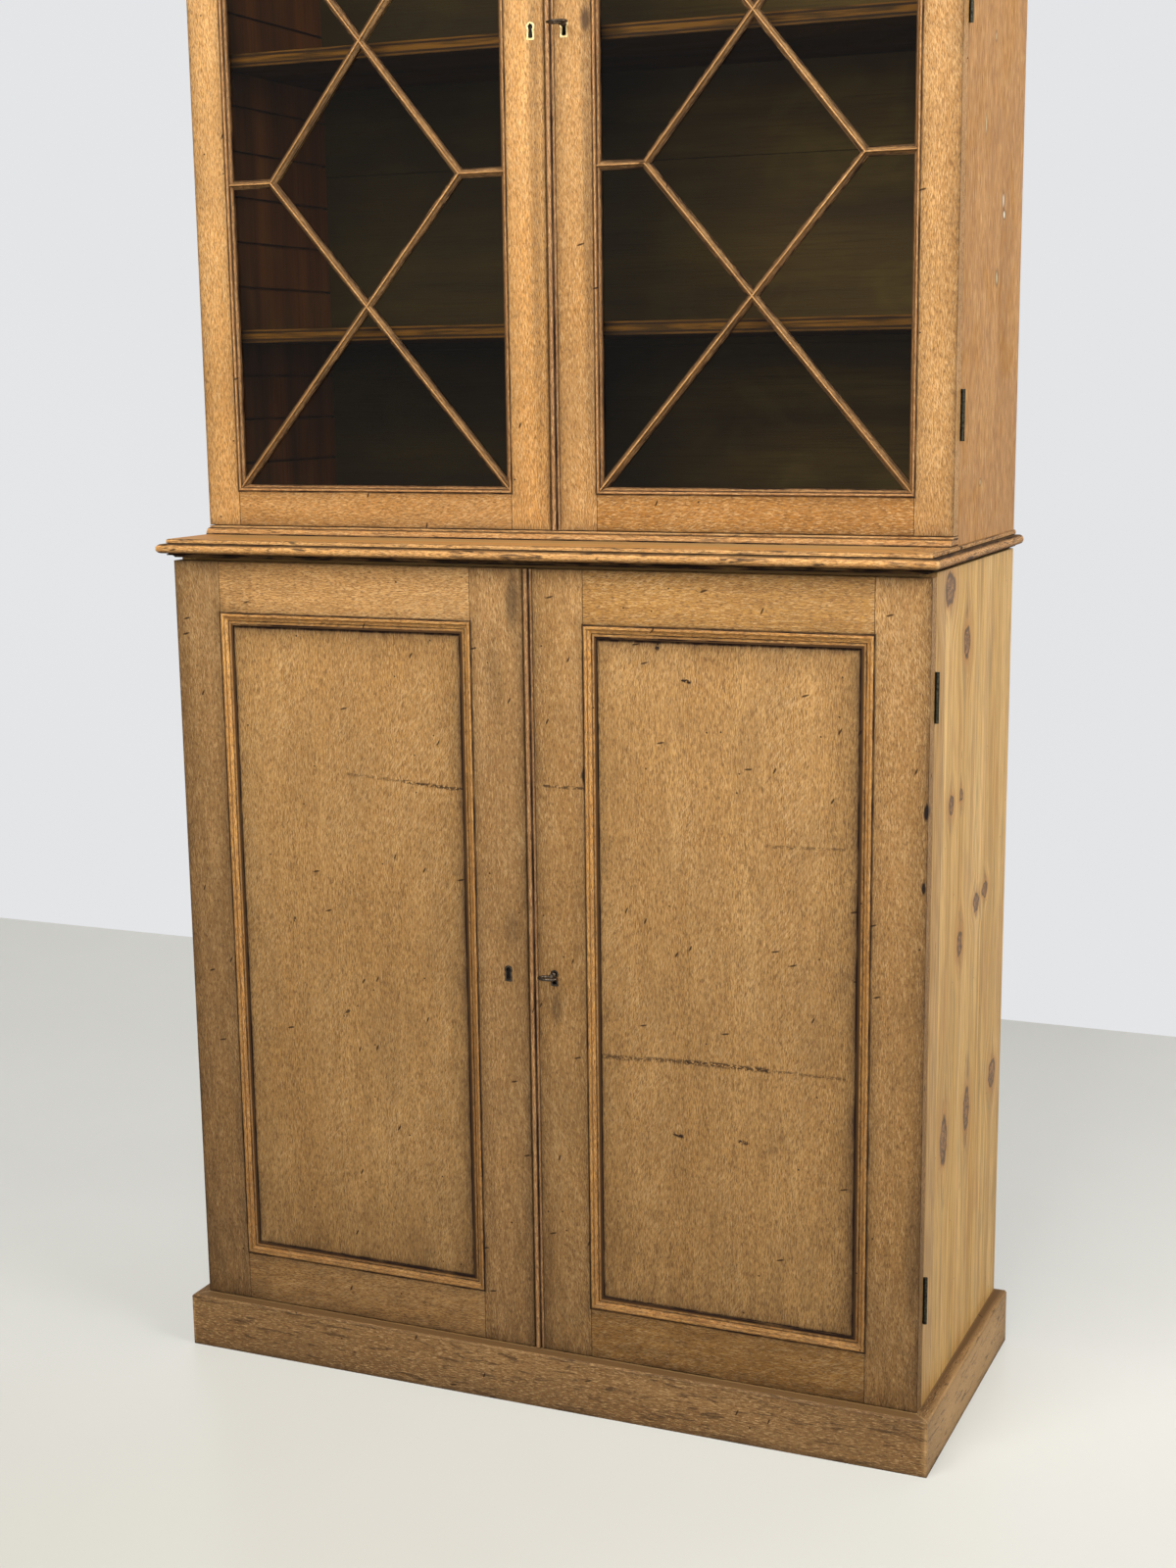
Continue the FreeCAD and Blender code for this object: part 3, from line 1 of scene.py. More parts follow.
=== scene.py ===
# %% [markdown]
# The glazed oak cabinet, dressed for its picture
# A cabinet maker built this piece in two stages: a cupboard with panelled doors below, and a
# bookcase with glazed doors above. The solids already stand in place, so this lesson gives each
# of them its wood, glass or metal, and adds the small pieces that solids leave out.
# The first cell loads the solids, with a helper that measures the box round any one of them.

# %% Load the solids
import math

import bmesh
import bpy
from mathutils import Matrix, Vector


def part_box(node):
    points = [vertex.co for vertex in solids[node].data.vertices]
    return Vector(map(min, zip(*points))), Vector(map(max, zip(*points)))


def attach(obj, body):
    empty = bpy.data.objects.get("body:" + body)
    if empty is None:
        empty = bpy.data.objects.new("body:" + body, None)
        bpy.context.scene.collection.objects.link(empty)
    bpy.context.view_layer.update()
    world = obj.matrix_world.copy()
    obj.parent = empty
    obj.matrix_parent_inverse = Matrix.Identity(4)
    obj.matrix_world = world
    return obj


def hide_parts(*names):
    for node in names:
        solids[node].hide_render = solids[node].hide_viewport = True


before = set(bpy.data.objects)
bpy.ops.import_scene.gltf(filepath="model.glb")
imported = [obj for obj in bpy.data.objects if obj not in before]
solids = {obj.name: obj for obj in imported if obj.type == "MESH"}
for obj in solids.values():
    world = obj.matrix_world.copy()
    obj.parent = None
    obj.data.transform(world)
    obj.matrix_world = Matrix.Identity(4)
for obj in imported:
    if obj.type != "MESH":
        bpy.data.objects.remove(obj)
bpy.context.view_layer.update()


# %% [markdown]
# The camera comes first, because every later choice is judged through it
# It stands 2.6 m in front of the doors and 1.4 m up, turned a little to the right of the cabinet
# and tipped down, as a person would hold it. Its angles were solved from the straight edges of
# the woodwork. A camera looks along its own -Z axis, so the matrix is built from three arrows:
# right, up and back. The small shift moves the frame without turning the camera.

# %% Place the camera
CAMERA_PLACE = Vector((1.21226, -2.81626, 1.39930))
CAMERA_TURN = math.radians(23.2756)
CAMERA_TIP = math.radians(11.5429)
CAMERA_ROLL = math.radians(-0.6882)
PICTURE_HEIGHT = 1600
FOCAL_PIXELS = 2253.3
SHIFT_PIXELS = (3.3, 50.7)

ahead = Vector((-math.sin(CAMERA_TURN) * math.cos(CAMERA_TIP),
                math.cos(CAMERA_TURN) * math.cos(CAMERA_TIP),
                -math.sin(CAMERA_TIP)))
level = Vector((math.cos(CAMERA_TURN), math.sin(CAMERA_TURN), 0))
lift = level.cross(ahead)
right = level * math.cos(CAMERA_ROLL) + lift * math.sin(CAMERA_ROLL)
up = lift * math.cos(CAMERA_ROLL) - level * math.sin(CAMERA_ROLL)
aim = Matrix((right, up, -ahead)).transposed().to_4x4()

lens = bpy.data.cameras.new("camera")
lens.sensor_fit = "VERTICAL"
lens.sensor_height = 24
lens.lens = FOCAL_PIXELS * lens.sensor_height / PICTURE_HEIGHT
lens.shift_x = -SHIFT_PIXELS[0] / PICTURE_HEIGHT
lens.shift_y = SHIFT_PIXELS[1] / PICTURE_HEIGHT
camera = bpy.data.objects.new("camera", lens)
camera.matrix_world = Matrix.Translation(CAMERA_PLACE) @ aim
bpy.context.scene.collection.objects.link(camera)
bpy.context.scene.camera = camera
print("lens", round(lens.lens, 1), "mm")

# %% [markdown]
# Colours are written as a painter would mix them on a screen
# A hex value such as #B58C56 is in sRGB, which is bent to suit the eye. Light adds up in straight
# numbers, so one function unbends each channel before a shader gets it, by the sRGB standard's rule.

# %% Turn a hex colour to linear


def colour(text):
    """The linear colour of an sRGB hex value."""
    channels = [int(text[at:at + 2], 16) / 255 for at in (1, 3, 5)]
    straight = [c / 12.92 if c <= 0.04045 else ((c + 0.055) / 1.055) ** 2.4 for c in channels]
    return (*straight, 1)


print("oak in linear light", [round(c, 3) for c in colour("#B58C56")])

# %% [markdown]
# Every finish is a small tree of nodes
# One tree is open at a time, and one function adds any node to it, with its settings by name and with
# what feeds its inputs. The other works out a value from others, with a node for each step.

# %% Add a node and work out a value


def add(kind, settings=None, links=None):
    """Adds a node to the open tree and returns it. A kind without Node in its name is a shader node.
    Settings are its properties and the values of its inputs. Links say what feeds an input: an output,
    or a node, which stands for its first live output. A number, an arrow or a hex colour there is set
    as the input's value."""
    made = tree.nodes.new(kind if "Node" in kind else "ShaderNode" + kind)
    for name, value in (settings or {}).items():
        if isinstance(name, str) and hasattr(made, name):
            setattr(made, name, value)
        else:
            made.inputs[name].default_value = value
    for name, source in (links or {}).items():
        if isinstance(source, bpy.types.Node):
            source = next(output for output in source.outputs if output.enabled)
        if isinstance(source, bpy.types.NodeSocket):
            tree.links.new(source, made.inputs[name])
        else:
            made.inputs[name].default_value = colour(source) if isinstance(source, str) else source
    return made


ARROWS = "VectorMath"


def calc(operation, *values, kind="Math", clamp=False):
    """Works out one value from one, two or more, two at a time. Each is a number, an arrow, an output or a
    node, and the kind says whether it works with numbers or with arrows."""
    settings = {"operation": operation, "use_clamp": True} if clamp else {"operation": operation}
    made = values[0]
    for value in values[1:] or [None]:
        made = add(kind, settings, {0: made} if value is None else {0: made, 1: value})
    return made


print("node helpers ready")

# %% [markdown]
# A finish starts empty and ends with its shader
# A finish is started as a material whose tree is empty. The woods and most metals end with the same
# shader, on which light goes a little round each arris, because no real edge is sharp.

# %% Start, end and give a finish


def finish(name):
    """A new material, whose empty tree is now the open one."""
    global tree
    made = bpy.data.materials.new(name)
    made.use_nodes = True
    tree = made.node_tree
    tree.nodes.clear()
    return made


def coat(look, rough, height, bump, edge, settings):
    """Ends a finish with its shader. Rough is (least, most, share between them), bump says how the height
    shows, and edge is how round the light is on an arris, in metres."""
    least, most, share = rough
    gloss = add("MapRange", {"To Min": least, "To Max": most}, {"Value": share})
    soft = add("Bevel", {"samples": 4, "Radius": edge})
    relief = add("Bump", bump, {"Height": height, "Normal": soft})
    shader = add("BsdfPrincipled", settings, {"Base Color": look, "Roughness": gloss, "Normal": relief})
    add("OutputMaterial", {}, {"Surface": shader})


def give(material, *names):
    """Puts a finish on the solids of these names."""
    for name in names:
        for place in solids[name].material_slots:
            place.material = material


print("finish helpers ready")

# %% [markdown]
# Wood is a pattern stretched along the grain
# A board's pores and rings run its whole length, so a pattern is squeezed across the board and
# drawn out along it. These helpers turn the object's coordinates so that the third axis always
# runs along the grain. A stile's grain goes up, a rail's goes across, and a moulding's follows its
# own run, which is square both to the face's normal and to the way its frame faces.

# %% Follow the grain
UP, ACROSS, FRAMED, ROUND = "up", "across", "framed", "round"
RUN_FACING = {FRAMED: (0, 1, 0), ROUND: (0, 0, 1)}


def parts_of(source="Object"):
    """The X, Y and Z of a point's place on its object, or of its normal."""
    return add("SeparateXYZ", {}, {0: add("TexCoord").outputs[source]}).outputs


def grain_of(run):
    """Coordinates in metres whose third axis runs along the grain."""
    place = add("TexCoord").outputs
    if run == UP:
        return place["Object"]
    if run == ACROSS:
        parts = parts_of()
        return add("CombineXYZ", {}, {"X": parts["Z"], "Y": parts["Y"], "Z": parts["X"]})
    facing = RUN_FACING[run]
    along = calc("NORMALIZE", calc("CROSS_PRODUCT", place["Normal"], facing, kind=ARROWS), kind=ARROWS)
    beside = calc("CROSS_PRODUCT", along, facing, kind=ARROWS)
    reach = [calc("DOT_PRODUCT", place["Object"], arrow, kind=ARROWS) for arrow in (beside, facing, along)]
    return add("CombineXYZ", {}, dict(zip("XYZ", reach)))


def streaks(grain, width, length, low, high, rough=0.5, bend=0.0):
    """Streaks of this width and length in metres: 0 where there is none, 1 in the middle of one."""
    squeezed = add("Mapping", {"Scale": (1 / width, 1 / width, 1 / length)}, {"Vector": grain})
    cloud = add("TexNoise",
                {"Scale": 1, "Detail": 2, "Roughness": rough, "Distortion": bend}, {"Vector": squeezed})
    return add("MapRange", {"From Min": low, "From Max": high}, {"Value": cloud})


def clouds(per_metre, detail, rough=0.5):
    """Blotches fixed to the object, about so many in a metre."""
    return add("TexNoise", {"Scale": per_metre, "Detail": detail, "Roughness": rough},
               {"Vector": grain_of(UP)})


def blend(look, *layers):
    """Lays colours over the look, one by one. A layer is its colour, the share of it at each point and its
    strength. A colour is a hex value or another node."""
    for over, share, strength in layers:
        weight = calc("MULTIPLY", share, strength, clamp=True)
        look = add("Mix", {"data_type": "RGBA"}, {0: weight, 6: look, 7: over})
    return look


print("grain can run:", UP, ACROSS, FRAMED, ROUND)

# %% [markdown]
# Age collects in corners and leaves edges
# Wax and dust settle in every recess and go nearly black, while hands and dusters rub the arrises
# pale. Where a piece has many small corners, ambient occlusion finds both: looking outwards it finds
# recesses, and looking inwards it finds edges.

# %% Find recesses and edges


def recess(reach):
    """1 deep in a corner narrower than reach, 0 in the open."""
    open_share = add("AmbientOcclusion", {"samples": 8, "Distance": reach}).outputs["AO"]
    return add("MapRange", {"From Min": 0.9, "From Max": 0.45}, {"Value": open_share})


def arris(reach):
    """1 on an outer edge, 0 further from it than reach."""
    inner = add("AmbientOcclusion",
                {"samples": 6, "Distance": reach, "inside": True, "only_local": True}).outputs["AO"]
    return add("MapRange", {"From Min": 0.95, "From Max": 0.6}, {"Value": inner})


print("recess and edge helpers ready")

# %% [markdown]
# Distance shades the long pieces
# Ambient occlusion costs rays, so the long mouldings and broad boards are shaded by distance instead: a
# ramp says how dark the wood is at each millimetre from an edge. Some marks were made from the front, so
# two more values say which way a face looks.

# %% Shade by distance


def off_line(value, line):
    """How far a value is from a line, on either side of it."""
    return calc("ABSOLUTE", calc("SUBTRACT", value, line))


def depth_in(parts, sides):
    """How far inside a rectangle a point is, seen from the front, in metres: below 0 outside it.
    Sides are left, right, foot, head."""
    left, right_side, foot, head = sides
    return calc("MINIMUM", calc("SUBTRACT", parts["X"], left),
                calc("SUBTRACT", right_side, parts["X"]), calc("SUBTRACT", parts["Z"], foot),
                calc("SUBTRACT", head, parts["Z"]))


def shades(value, stops, unit=0.001):
    """How dark it is along a value. Stops are pairs of place and darkness, the places in millimetres
    unless another unit is given."""
    first, last = stops[0][0], stops[-1][0]
    share = add("MapRange", {"From Min": first * unit, "From Max": last * unit}, {"Value": value})
    ramp = add("ValToRGB", {}, {"Fac": share})
    marks = ramp.color_ramp.elements
    marks.remove(marks[1])
    marks[0].color = (stops[0][1], stops[0][1], stops[0][1], 1)
    for at, dark in stops[1:]:
        marks.new((at - first) / (last - first)).color = (dark, dark, dark, 1)
    return ramp


def facing_front():
    """1 on a face that looks to the front, 0 on one that looks another way."""
    return calc("MULTIPLY", parts_of("Normal")["Y"], -1, clamp=True)


def off_back():
    """0 on a face that looks to the back, where a mark made from the front doesn't show, 1 elsewhere."""
    return calc("LESS_THAN", parts_of("Normal")["Y"], 0.5)


def outline(node, inset=0.0):
    """The front outline of a solid, moved in by inset: left, right, foot, head."""
    low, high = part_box(node)
    return low.x + inset, high.x - inset, low.z + inset, high.z - inset


print("age helpers ready")

# %% [markdown]
# A mark is a place on the wood
# Scratches, dents, stained spots and patches of painted shade and painted light are drawn by their
# distance from a line or a point, in metres. The place is first shaken by a little noise, so no scratch
# comes out as a ruler's line.

# %% Draw a mark


def shaken(shake=0.004, pitch=0.03):
    """Object coordinates moved by a little noise, so that marks drawn in them look made by hand."""
    centred = calc("SUBTRACT", clouds(1 / pitch, 2).outputs["Color"], (0.5, 0.5, 0.5), kind=ARROWS)
    return add(ARROWS, {"operation": "MULTIPLY_ADD"},
               {0: centred, 1: (shake, shake, shake), 2: grain_of(UP)})


def away(place, centre, size):
    """How far out in an oval of this size round centre: 0 in the middle, 1 at its rim, more outside."""
    scaled = calc("DIVIDE", calc("SUBTRACT", place, centre, kind=ARROWS), size, kind=ARROWS)
    return calc("LENGTH", scaled, kind=ARROWS)


def patch(place, centre, size):
    """1 inside an oval of this size round centre, fading to 0 at its rim."""
    return add("MapRange", {"From Min": 1, "From Max": 0.4}, {"Value": away(place, centre, size)})


def scratch(place, start, end, width):
    """1 on a straight mark from start to end, seen from the front, 0 beside it."""
    start, end = Vector((start[0], 0, start[1])), Vector((end[0], 0, end[1]))
    run = end - start
    flat = add(ARROWS, {"operation": "MULTIPLY_ADD"}, {0: place, 1: (1, 0, 1), 2: -start})
    reach = calc("DOT_PRODUCT", flat, run / run.length_squared, kind=ARROWS)
    nearest = add(ARROWS, {"operation": "SCALE"}, {0: run, "Scale": calc("MULTIPLY", reach, 1, clamp=True)})
    off = calc("DISTANCE", flat, nearest, kind=ARROWS)
    return add("MapRange", {"From Min": width, "From Max": width / 3}, {"Value": off})


def dashes(place, width, length, lean, most):
    """Short dark nicks of this size, in metres, leaning by so many degrees. Most is the share of places
    that stay clean. They are scattered by cells: one nick sits in the middle of each chosen cell."""
    parts = add("SeparateXYZ", {}, {0: place}).outputs
    flat = add("CombineXYZ", {}, {"X": calc("ADD", parts["X"], parts["Y"]), "Y": parts["Z"]})
    turned = add("Mapping", {"Rotation": (0, 0, math.radians(lean))}, {"Vector": flat})
    sized = add("Mapping", {"Scale": (0.1 / width, 0.1 / length, 1)}, {"Vector": turned})
    cells = add("TexVoronoi", {"voronoi_dimensions": "2D", "Scale": 1}, {"Vector": sized}).outputs
    spot = add("MapRange", {"From Min": 0.06, "From Max": 0.035}, {"Value": cells["Distance"]})
    return calc("MULTIPLY", spot, calc("GREATER_THAN", cells["Color"], most))


print("marks ready")

# %% [markdown]
# Quarter-sawn oak, waxed
# Oak sawn towards its heart shows its rays as thin pale ripples that lean across the grain. Its
# pores are open and hold dark wax. A pore is 0.3 mm wide, too fine to show here, so pores are drawn
# in bundles about 1.3 mm wide and 9 mm long. Wax gives a soft shine, rougher over the pores.

# %% Make the oak
BUNDLE, PORE, RAY = (0.0013, 0.009), (0.0011, 0.0065), (0.0018, 0.012)  # Widths and lengths in metres.
GLEAM = (0.00132, 0.00845)
NICKS = ((0.0026, 0.0026, 0, 0.85), (0.0026, 0.009, 24, 0.8), (0.0026, 0.011, 76, 0.8))
SEAM_SHADE = [(0, 1), (0.7, 1), (1.5, 0)]
WOOD_IOR = 1.5


def oak(name, run, pale, deep, rays=0.25, lean=-32, worn=0.0, scuffs=0.0, shade=(), seams=(), scars=(),
        stains=()):
    """Waxed quarter-sawn oak. Shade is (measure, stops, front only), where the measure is an outline to
    be inside of or the letter of an axis; each one paints the wood darker, as painted shade, dark wax and
    dirt.
    Worn is how pale its arrises are rubbed, and scuffs how dark its bruises are. Seams are (axis, place)
    where two boards meet. Scars are (start, end, width, strength), and the last list holds (centre, size,
    strength, colour) of stained spots and of patches of painted shade and painted light."""
    material = finish(name)
    grain, place, parts = grain_of(run), shaken(), parts_of()
    bundles = streaks(grain, *BUNDLE, 0.44, 0.58, 0.6, 0.3)
    pores = streaks(grain, *PORE, 0.52, 0.6, 0.6, 0.3)
    leaning = add("Mapping", {"Rotation": (0, math.radians(lean), 0)}, {"Vector": grain})
    flakes = streaks(leaning, *RAY, 0.52, 0.62, 0.5, 0.6)
    nicks = calc("MAXIMUM", *[dashes(place, *nick) for nick in NICKS])
    look = blend(
        pale, (deep, streaks(grain, 0.09, 0.7, 0.3, 0.7), 1),
        (deep, streaks(grain, 0.012, 0.3, 0.3, 0.7), 0.5),
        (deep, streaks(grain, 0.0038, 0.09, 0.44, 0.6, 0.6), 0.6), ("#8A6035", bundles, 0.6),
        ("#E2B980", streaks(grain, *GLEAM, 0.46, 0.38, 0.6, 0.3), 0.45), ("#573A1E", pores, 0.6),
        ("#E4BE86", calc("MULTIPLY", flakes, streaks(grain, 0.1, 0.25, 0.45, 0.6)), rays),
        ("#80613C", streaks(grain, 0.06, 0.14, 0.45, 0.75, 0.6), 0.28), ("#2A180C", nicks, 0.85))

    for start, end, width, strength in scars:
        line = calc("MULTIPLY", scratch(place, start, end, width), off_back(),
                    streaks(place, 0.007, 0.004, 0.44, 0.5, 0.8))
        look = blend(look, ("#24150A", line, strength))
    for centre, size, strength, tint in stains:
        spot = calc("MULTIPLY", patch(place, centre, size), off_back())
        look = blend(look, (tint, spot, strength))
    for axis, line in seams:
        look = blend(look, ("#2A190C", shades(off_line(parts[axis], line), SEAM_SHADE), 0.8))
    if scuffs:
        look = blend(look, ("#2A190C", streaks(grain, 0.007, 0.045, 0.56, 0.66, 0.75, 0.8), scuffs))
    if worn:
        rubbed = calc("MULTIPLY", arris(0.003), streaks(grain, 0.01, 0.05, 0.35, 0.6))
        look = blend(look, ("#E9BE83", rubbed, worn))

    marks_and_shade = nicks
    uneven = add("MapRange", {"To Min": 0.8, "To Max": 1.15},
                 {"Value": streaks(grain, 0.012, 0.05, 0.35, 0.65, 0.7)})
    # Each shade list paints the wood darker, as painted shade and dark wax, and makes it duller there.
    for measure, stops, front_only in shade:
        value = parts[measure] if isinstance(measure, str) else depth_in(parts, measure)
        dark = calc("MULTIPLY", shades(value, stops), uneven, clamp=True)
        if front_only:
            dark = calc("MULTIPLY", dark, facing_front())
        look = blend(look, ("#1D0F06", dark, 1))
        marks_and_shade = calc("MAXIMUM", marks_and_shade, dark)

    dull = calc("MAXIMUM", calc("MULTIPLY", pores, 0.5), marks_and_shade)
    height = calc("ADD", calc("MULTIPLY", bundles, 0.5), nicks, clamp=True)
    coat(look, (0.46, 0.95, dull), height, {"Strength": 0.6, "Distance": 0.0006, "invert": True},
         0.0009, {"IOR": WOOD_IOR, "Specular IOR Level": 0.2})
    return material


print("oak bundles", BUNDLE[0] * 1000, "mm wide")

# %% [markdown]
# Painted shade and dark wax follow each profile
# A moulding is painted dark in its hollows, under its overhangs and in the gaps beside it, where shade
# falls and wax settles, and is left bare on its ridges. Each list below goes across one profile, from
# place to place in millimetres, and says how dark it is painted there.

# %% Shade each profile
# Painted shade: the lower doors, panels and panel mouldings grow darker towards the floor, as light falls
# off.
SHADE_TOWARD_FLOOR = [(90, 0.5), (180, 0.42), (350, 0.3), (650, 0.26), (1000, 0.12), (1120, 0.08)]
SHADED_SIDE = [(-540, 0.2), (-440, 0.17), (-410, 0)]
DOOR_EDGE = [(0, 0.8), (1.2, 0.5), (5, 0.28), (16, 0.1), (32, 0)]
OPENING_EDGE = [(-22, 0), (-8, 0.14), (-2.2, 0.3), (-1.2, 0.75), (-0.2, 0.9), (1, 0.9)]
MOULDING_SHADE = [(-0.5, 0.96), (1.1, 0.94), (1.7, 0.1), (4.4, 0.0), (5.2, 0.25), (6.2, 0.25), (7.0, 0.0),
                  (9.6, 0.05), (10.6, 0.8), (11.4, 0.85), (12.1, 0.3), (14.0, 0.35), (14.8, 0.92),
                  (16.6, 0.97), (17.6, 0.98)]
STICKING_SHADE = [(-0.5, 0.95), (0.8, 0.85), (1.4, 0.1), (3.2, 0.1), (4.0, 0.85), (5.0, 0.85), (5.8, 0.3),
                  (7.0, 0.5), (8.2, 0.85), (9.2, 0.95)]
# Painted shade: a panel is dark against its moulding, with wax there, and darker still along its top and
# right, as the moulding's shadow.
PANEL_SHADE = [(-1, 0.98), (0.8, 0.95), (1.8, 0.5), (4, 0.28), (14, 0.12), (45, 0)]
PANEL_TOP_RIGHT_SHADOW = [(-1, 0.98), (2.6, 0.96), (4.0, 0.5), (8, 0.25), (18, 0.1), (40, 0)]
# Painted shade: the cover bead is near-black on its left, in the gap between the doors.
BEAD_SHADE = [(-5.5, 0.98), (-4.2, 0.96), (-3.3, 0.3), (-2.4, 0.1), (0.6, 0.1), (1.6, 0.75), (2.6, 0.96),
              (4.4, 0.93), (5.2, 0.3), (7.0, 0.25), (8.2, 0.85)]
# Painted shade: a glazing bar grows darker the deeper its face lies behind the ridge.
BAR_SHADE = [(-105.6, 0), (-105.0, 0), (-104.3, 0.9), (-103.2, 0.68), (-101.4, 0.66), (-100.2, 0.93),
             (-98.8, 0.97), (-97.4, 0.98), (-94.0, 0.9), (-88.5, 0.7), (-87.2, 0.2), (-86.5, 0.15)]
# Painted shade: the waist is near-black along its lowest part, under its lip.
WAIST_SHADE = [(1168, 0.95), (1174, 0.96), (1176, 0.6), (1179, 0.12), (1184.4, 0.02), (1185.8, 0.5),
               (1186.8, 0.92), (1188.6, 0.88), (1189.3, 0.1), (1192.2, 0.04), (1193.0, 0.55),
               (1193.7, 0.6), (1194.1, 0.12)]
BASE_SHADE = [(1193.8, 0.97), (1195.6, 0.9), (1196.6, 0.15), (1201.6, 0.05), (1202.5, 0.8), (1203.4, 0.75),
              (1203.9, 0.1), (1205.2, 0.05), (1206.1, 0.5)]
PLINTH_SHADE = [(0, 0.8), (3, 0.5), (10, 0.2), (40, 0.08), (72, 0.15), (75, 0.35), (78, 0.4), (79, 0.6)]
CROWN_SHADE = [(2491, 0.8), (2496, 0.3), (2498, 0.8), (2502, 0.3), (2530, 0.05), (2535, 0.7), (2541, 0.75),
               (2543, 0.2), (2556, 0.05), (2558.6, 0.8), (2560, 0.1), (2575, 0.05)]
print("the waist's profile changes shade", len(WAIST_SHADE), "times")

# %% [markdown]
# Marks of use
# The panels have long scratches where things were dragged across them, and the stiles are dark where hands
# pull the doors. Only the marks that a person would notice are placed one by one.

# %% Place the marks
PANEL_SCARS = {  # Start and end, each as how far right and how high, then width and strength.
    "left": [((-0.279, 0.876), (-0.180, 0.870), 0.003, 0.45),
             ((-0.190, 0.870), (-0.095, 0.863), 0.0034, 0.85),
             ((-0.371, 0.660), (-0.370, 0.666), 0.003, 0.9),
             ((-0.296, 0.528), (-0.290, 0.536), 0.004, 0.9)],
    "right": [((0.084, 0.512), (0.220, 0.518), 0.0045, 0.7), ((0.220, 0.518), (0.330, 0.519), 0.005, 0.85),
              ((0.330, 0.519), (0.435, 0.519), 0.003, 0.55), ((0.328, 0.817), (0.431, 0.820), 0.003, 0.5),
              ((0.215, 1.026), (0.224, 1.024), 0.004, 1.2), ((0.180, 1.066), (0.183, 1.072), 0.004, 1.2),
              ((0.202, 0.416), (0.212, 0.414), 0.004, 1.0), ((0.294, 0.417), (0.304, 0.415), 0.004, 1.0)],
}
STILE_SCARS = {"lower_right": [((0.021, 0.878), (0.080, 0.878), 0.003, 0.8)]}
SMUDGES = {  # How far right, how high, half width, half height, strength and colour.
    "lower_left": [(-0.022, 1.12, 0.012, 0.05, 0.6, "#3B2C1B"),
                   (-0.030, 0.68, 0.016, 0.03, 0.35, "#3B2C1B"),
                   (-0.050, 1.02, 0.02, 0.08, 0.3, "#4A3823")],
    "lower_right": [(0.080, 0.895, 0.006, 0.016, 1.5, "#160D06"),
                    (0.537, 0.876, 0.004, 0.014, 1.5, "#160D06"),
                    (0.536, 0.78, 0.003, 0.010, 1.5, "#1E130A"),
                    (0.530, 0.30, 0.014, 0.14, 0.35, "#4A3823"),
                    (0.034, 0.575, 0.010, 0.03, 0.5, "#3B2C1B")],
    "upper_left": [(-0.022, 1.7, 0.010, 0.5, 0.35, "#4A3823")],
    "upper_right": [(0.052, 1.85, 0.010, 0.02, 0.9, "#4A3018"), (0.052, 1.7, 0.009, 0.5, 0.35, "#4A3823")],
}
print(sum(len(places) for places in SMUDGES.values()), "smudges on the stiles")

# %% [markdown]
# Each board has its own tone
# A maker picks boards for one piece, yet no two age alike: the cupboard's stiles went greyer and darker
# than its rails, and the bookcase stayed the warmest. Borders are dark where wax has gathered against a
# moulding. The lower doors also carry painted shade: darker towards the floor, and on the far left.

# %% Give the oak to the doors
TONES = {  # Pale and deep of the rails, then pale and deep of the stiles, door by door.
    "lower_left": ("#DFAB6A", "#BA894E", "#C3955E", "#9A7241"),
    "lower_right": ("#C5924C", "#A47437", "#CB9A5E", "#A17742"),
    "upper_left": ("#D49F5F", "#AF7A3C", "#E9B36F", "#C58D4A"),
    "upper_right": ("#BD853E", "#9B6625", "#CE9D5F", "#AE7B3F"),
}
FRONT = {"lower": -0.2025, "upper": -0.1065}  # Where the doors' fronts are.
MOULDING_WIDTH = 0.0175
KEYHOLE_SHADE_DEPTH = 0.0168

for door, (rail_pale, rail_deep, stile_pale, stile_deep) in TONES.items():
    stage = door[:5]
    gap = outline(door + ("_panel_moulding" if stage == "lower" else "_sticking"))
    aged_and_shaded = [(outline(door + "_stiles"), DOOR_EDGE, True), (gap, OPENING_EDGE, True)]
    if stage == "lower":
        aged_and_shaded.append(("Z", SHADE_TOWARD_FLOOR, False))
    if door == "lower_left":
        aged_and_shaded.append(("X", SHADED_SIDE, False))
    rim_low, rim_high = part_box(door + "_escutcheon")
    middle = (rim_low + rim_high) / 2
    stains = [((x, FRONT[stage], z), (wide, 0.03, tall), strength, tint)
              for x, z, wide, tall, strength, tint in SMUDGES[door]]
    # Painted shade: the inside of the keyhole is painted near-black.
    stains.append(((middle.x, rim_low.y + KEYHOLE_SHADE_DEPTH, middle.z), (0.012, 0.0165, 0.022), 6, "#060403"))
    give(oak("oak_waxed_%s_stiles" % door, UP, stile_pale, stile_deep, lean=32, shade=aged_and_shaded,
             scars=STILE_SCARS.get(door, ()), stains=stains), door + "_stiles")
    give(oak("oak_waxed_%s_rails" % door, ACROSS, rail_pale, rail_deep, shade=aged_and_shaded,
             seams=[("X", side) for side in gap[:2]]), door + "_rails")
for hand in ("left", "right"):
    moulding = "lower_%s_panel_moulding" % hand
    sticking = "upper_%s_sticking" % hand
    left, right_side, foot, head = inside = outline(moulding, MOULDING_WIDTH)
    give(oak("oak_waxed_%s_panel" % hand, UP, "#D3A464", "#B18349", rays=0.3, scars=PANEL_SCARS[hand],
             shade=[(inside, PANEL_SHADE, True),
                    ((left - 1, right_side, foot - 1, head), PANEL_TOP_RIGHT_SHADOW, True), ("Z", SHADE_TOWARD_FLOOR, False)]),
         "lower_%s_panel" % hand)
    give(oak("oak_waxed_%s_panel_moulding" % hand, FRAMED, "#EAAF5F", "#C28542", rays=0.1,
             shade=[(outline(moulding), MOULDING_SHADE, False), ("Z", SHADE_TOWARD_FLOOR, False)]), moulding)
    give(oak("oak_waxed_%s_sticking" % hand, FRAMED, "#CF995E", "#A4703E", rays=0.1,
             shade=[(outline(sticking), STICKING_SHADE, False)]), sticking)

print("oak given to", len(TONES), "doors")
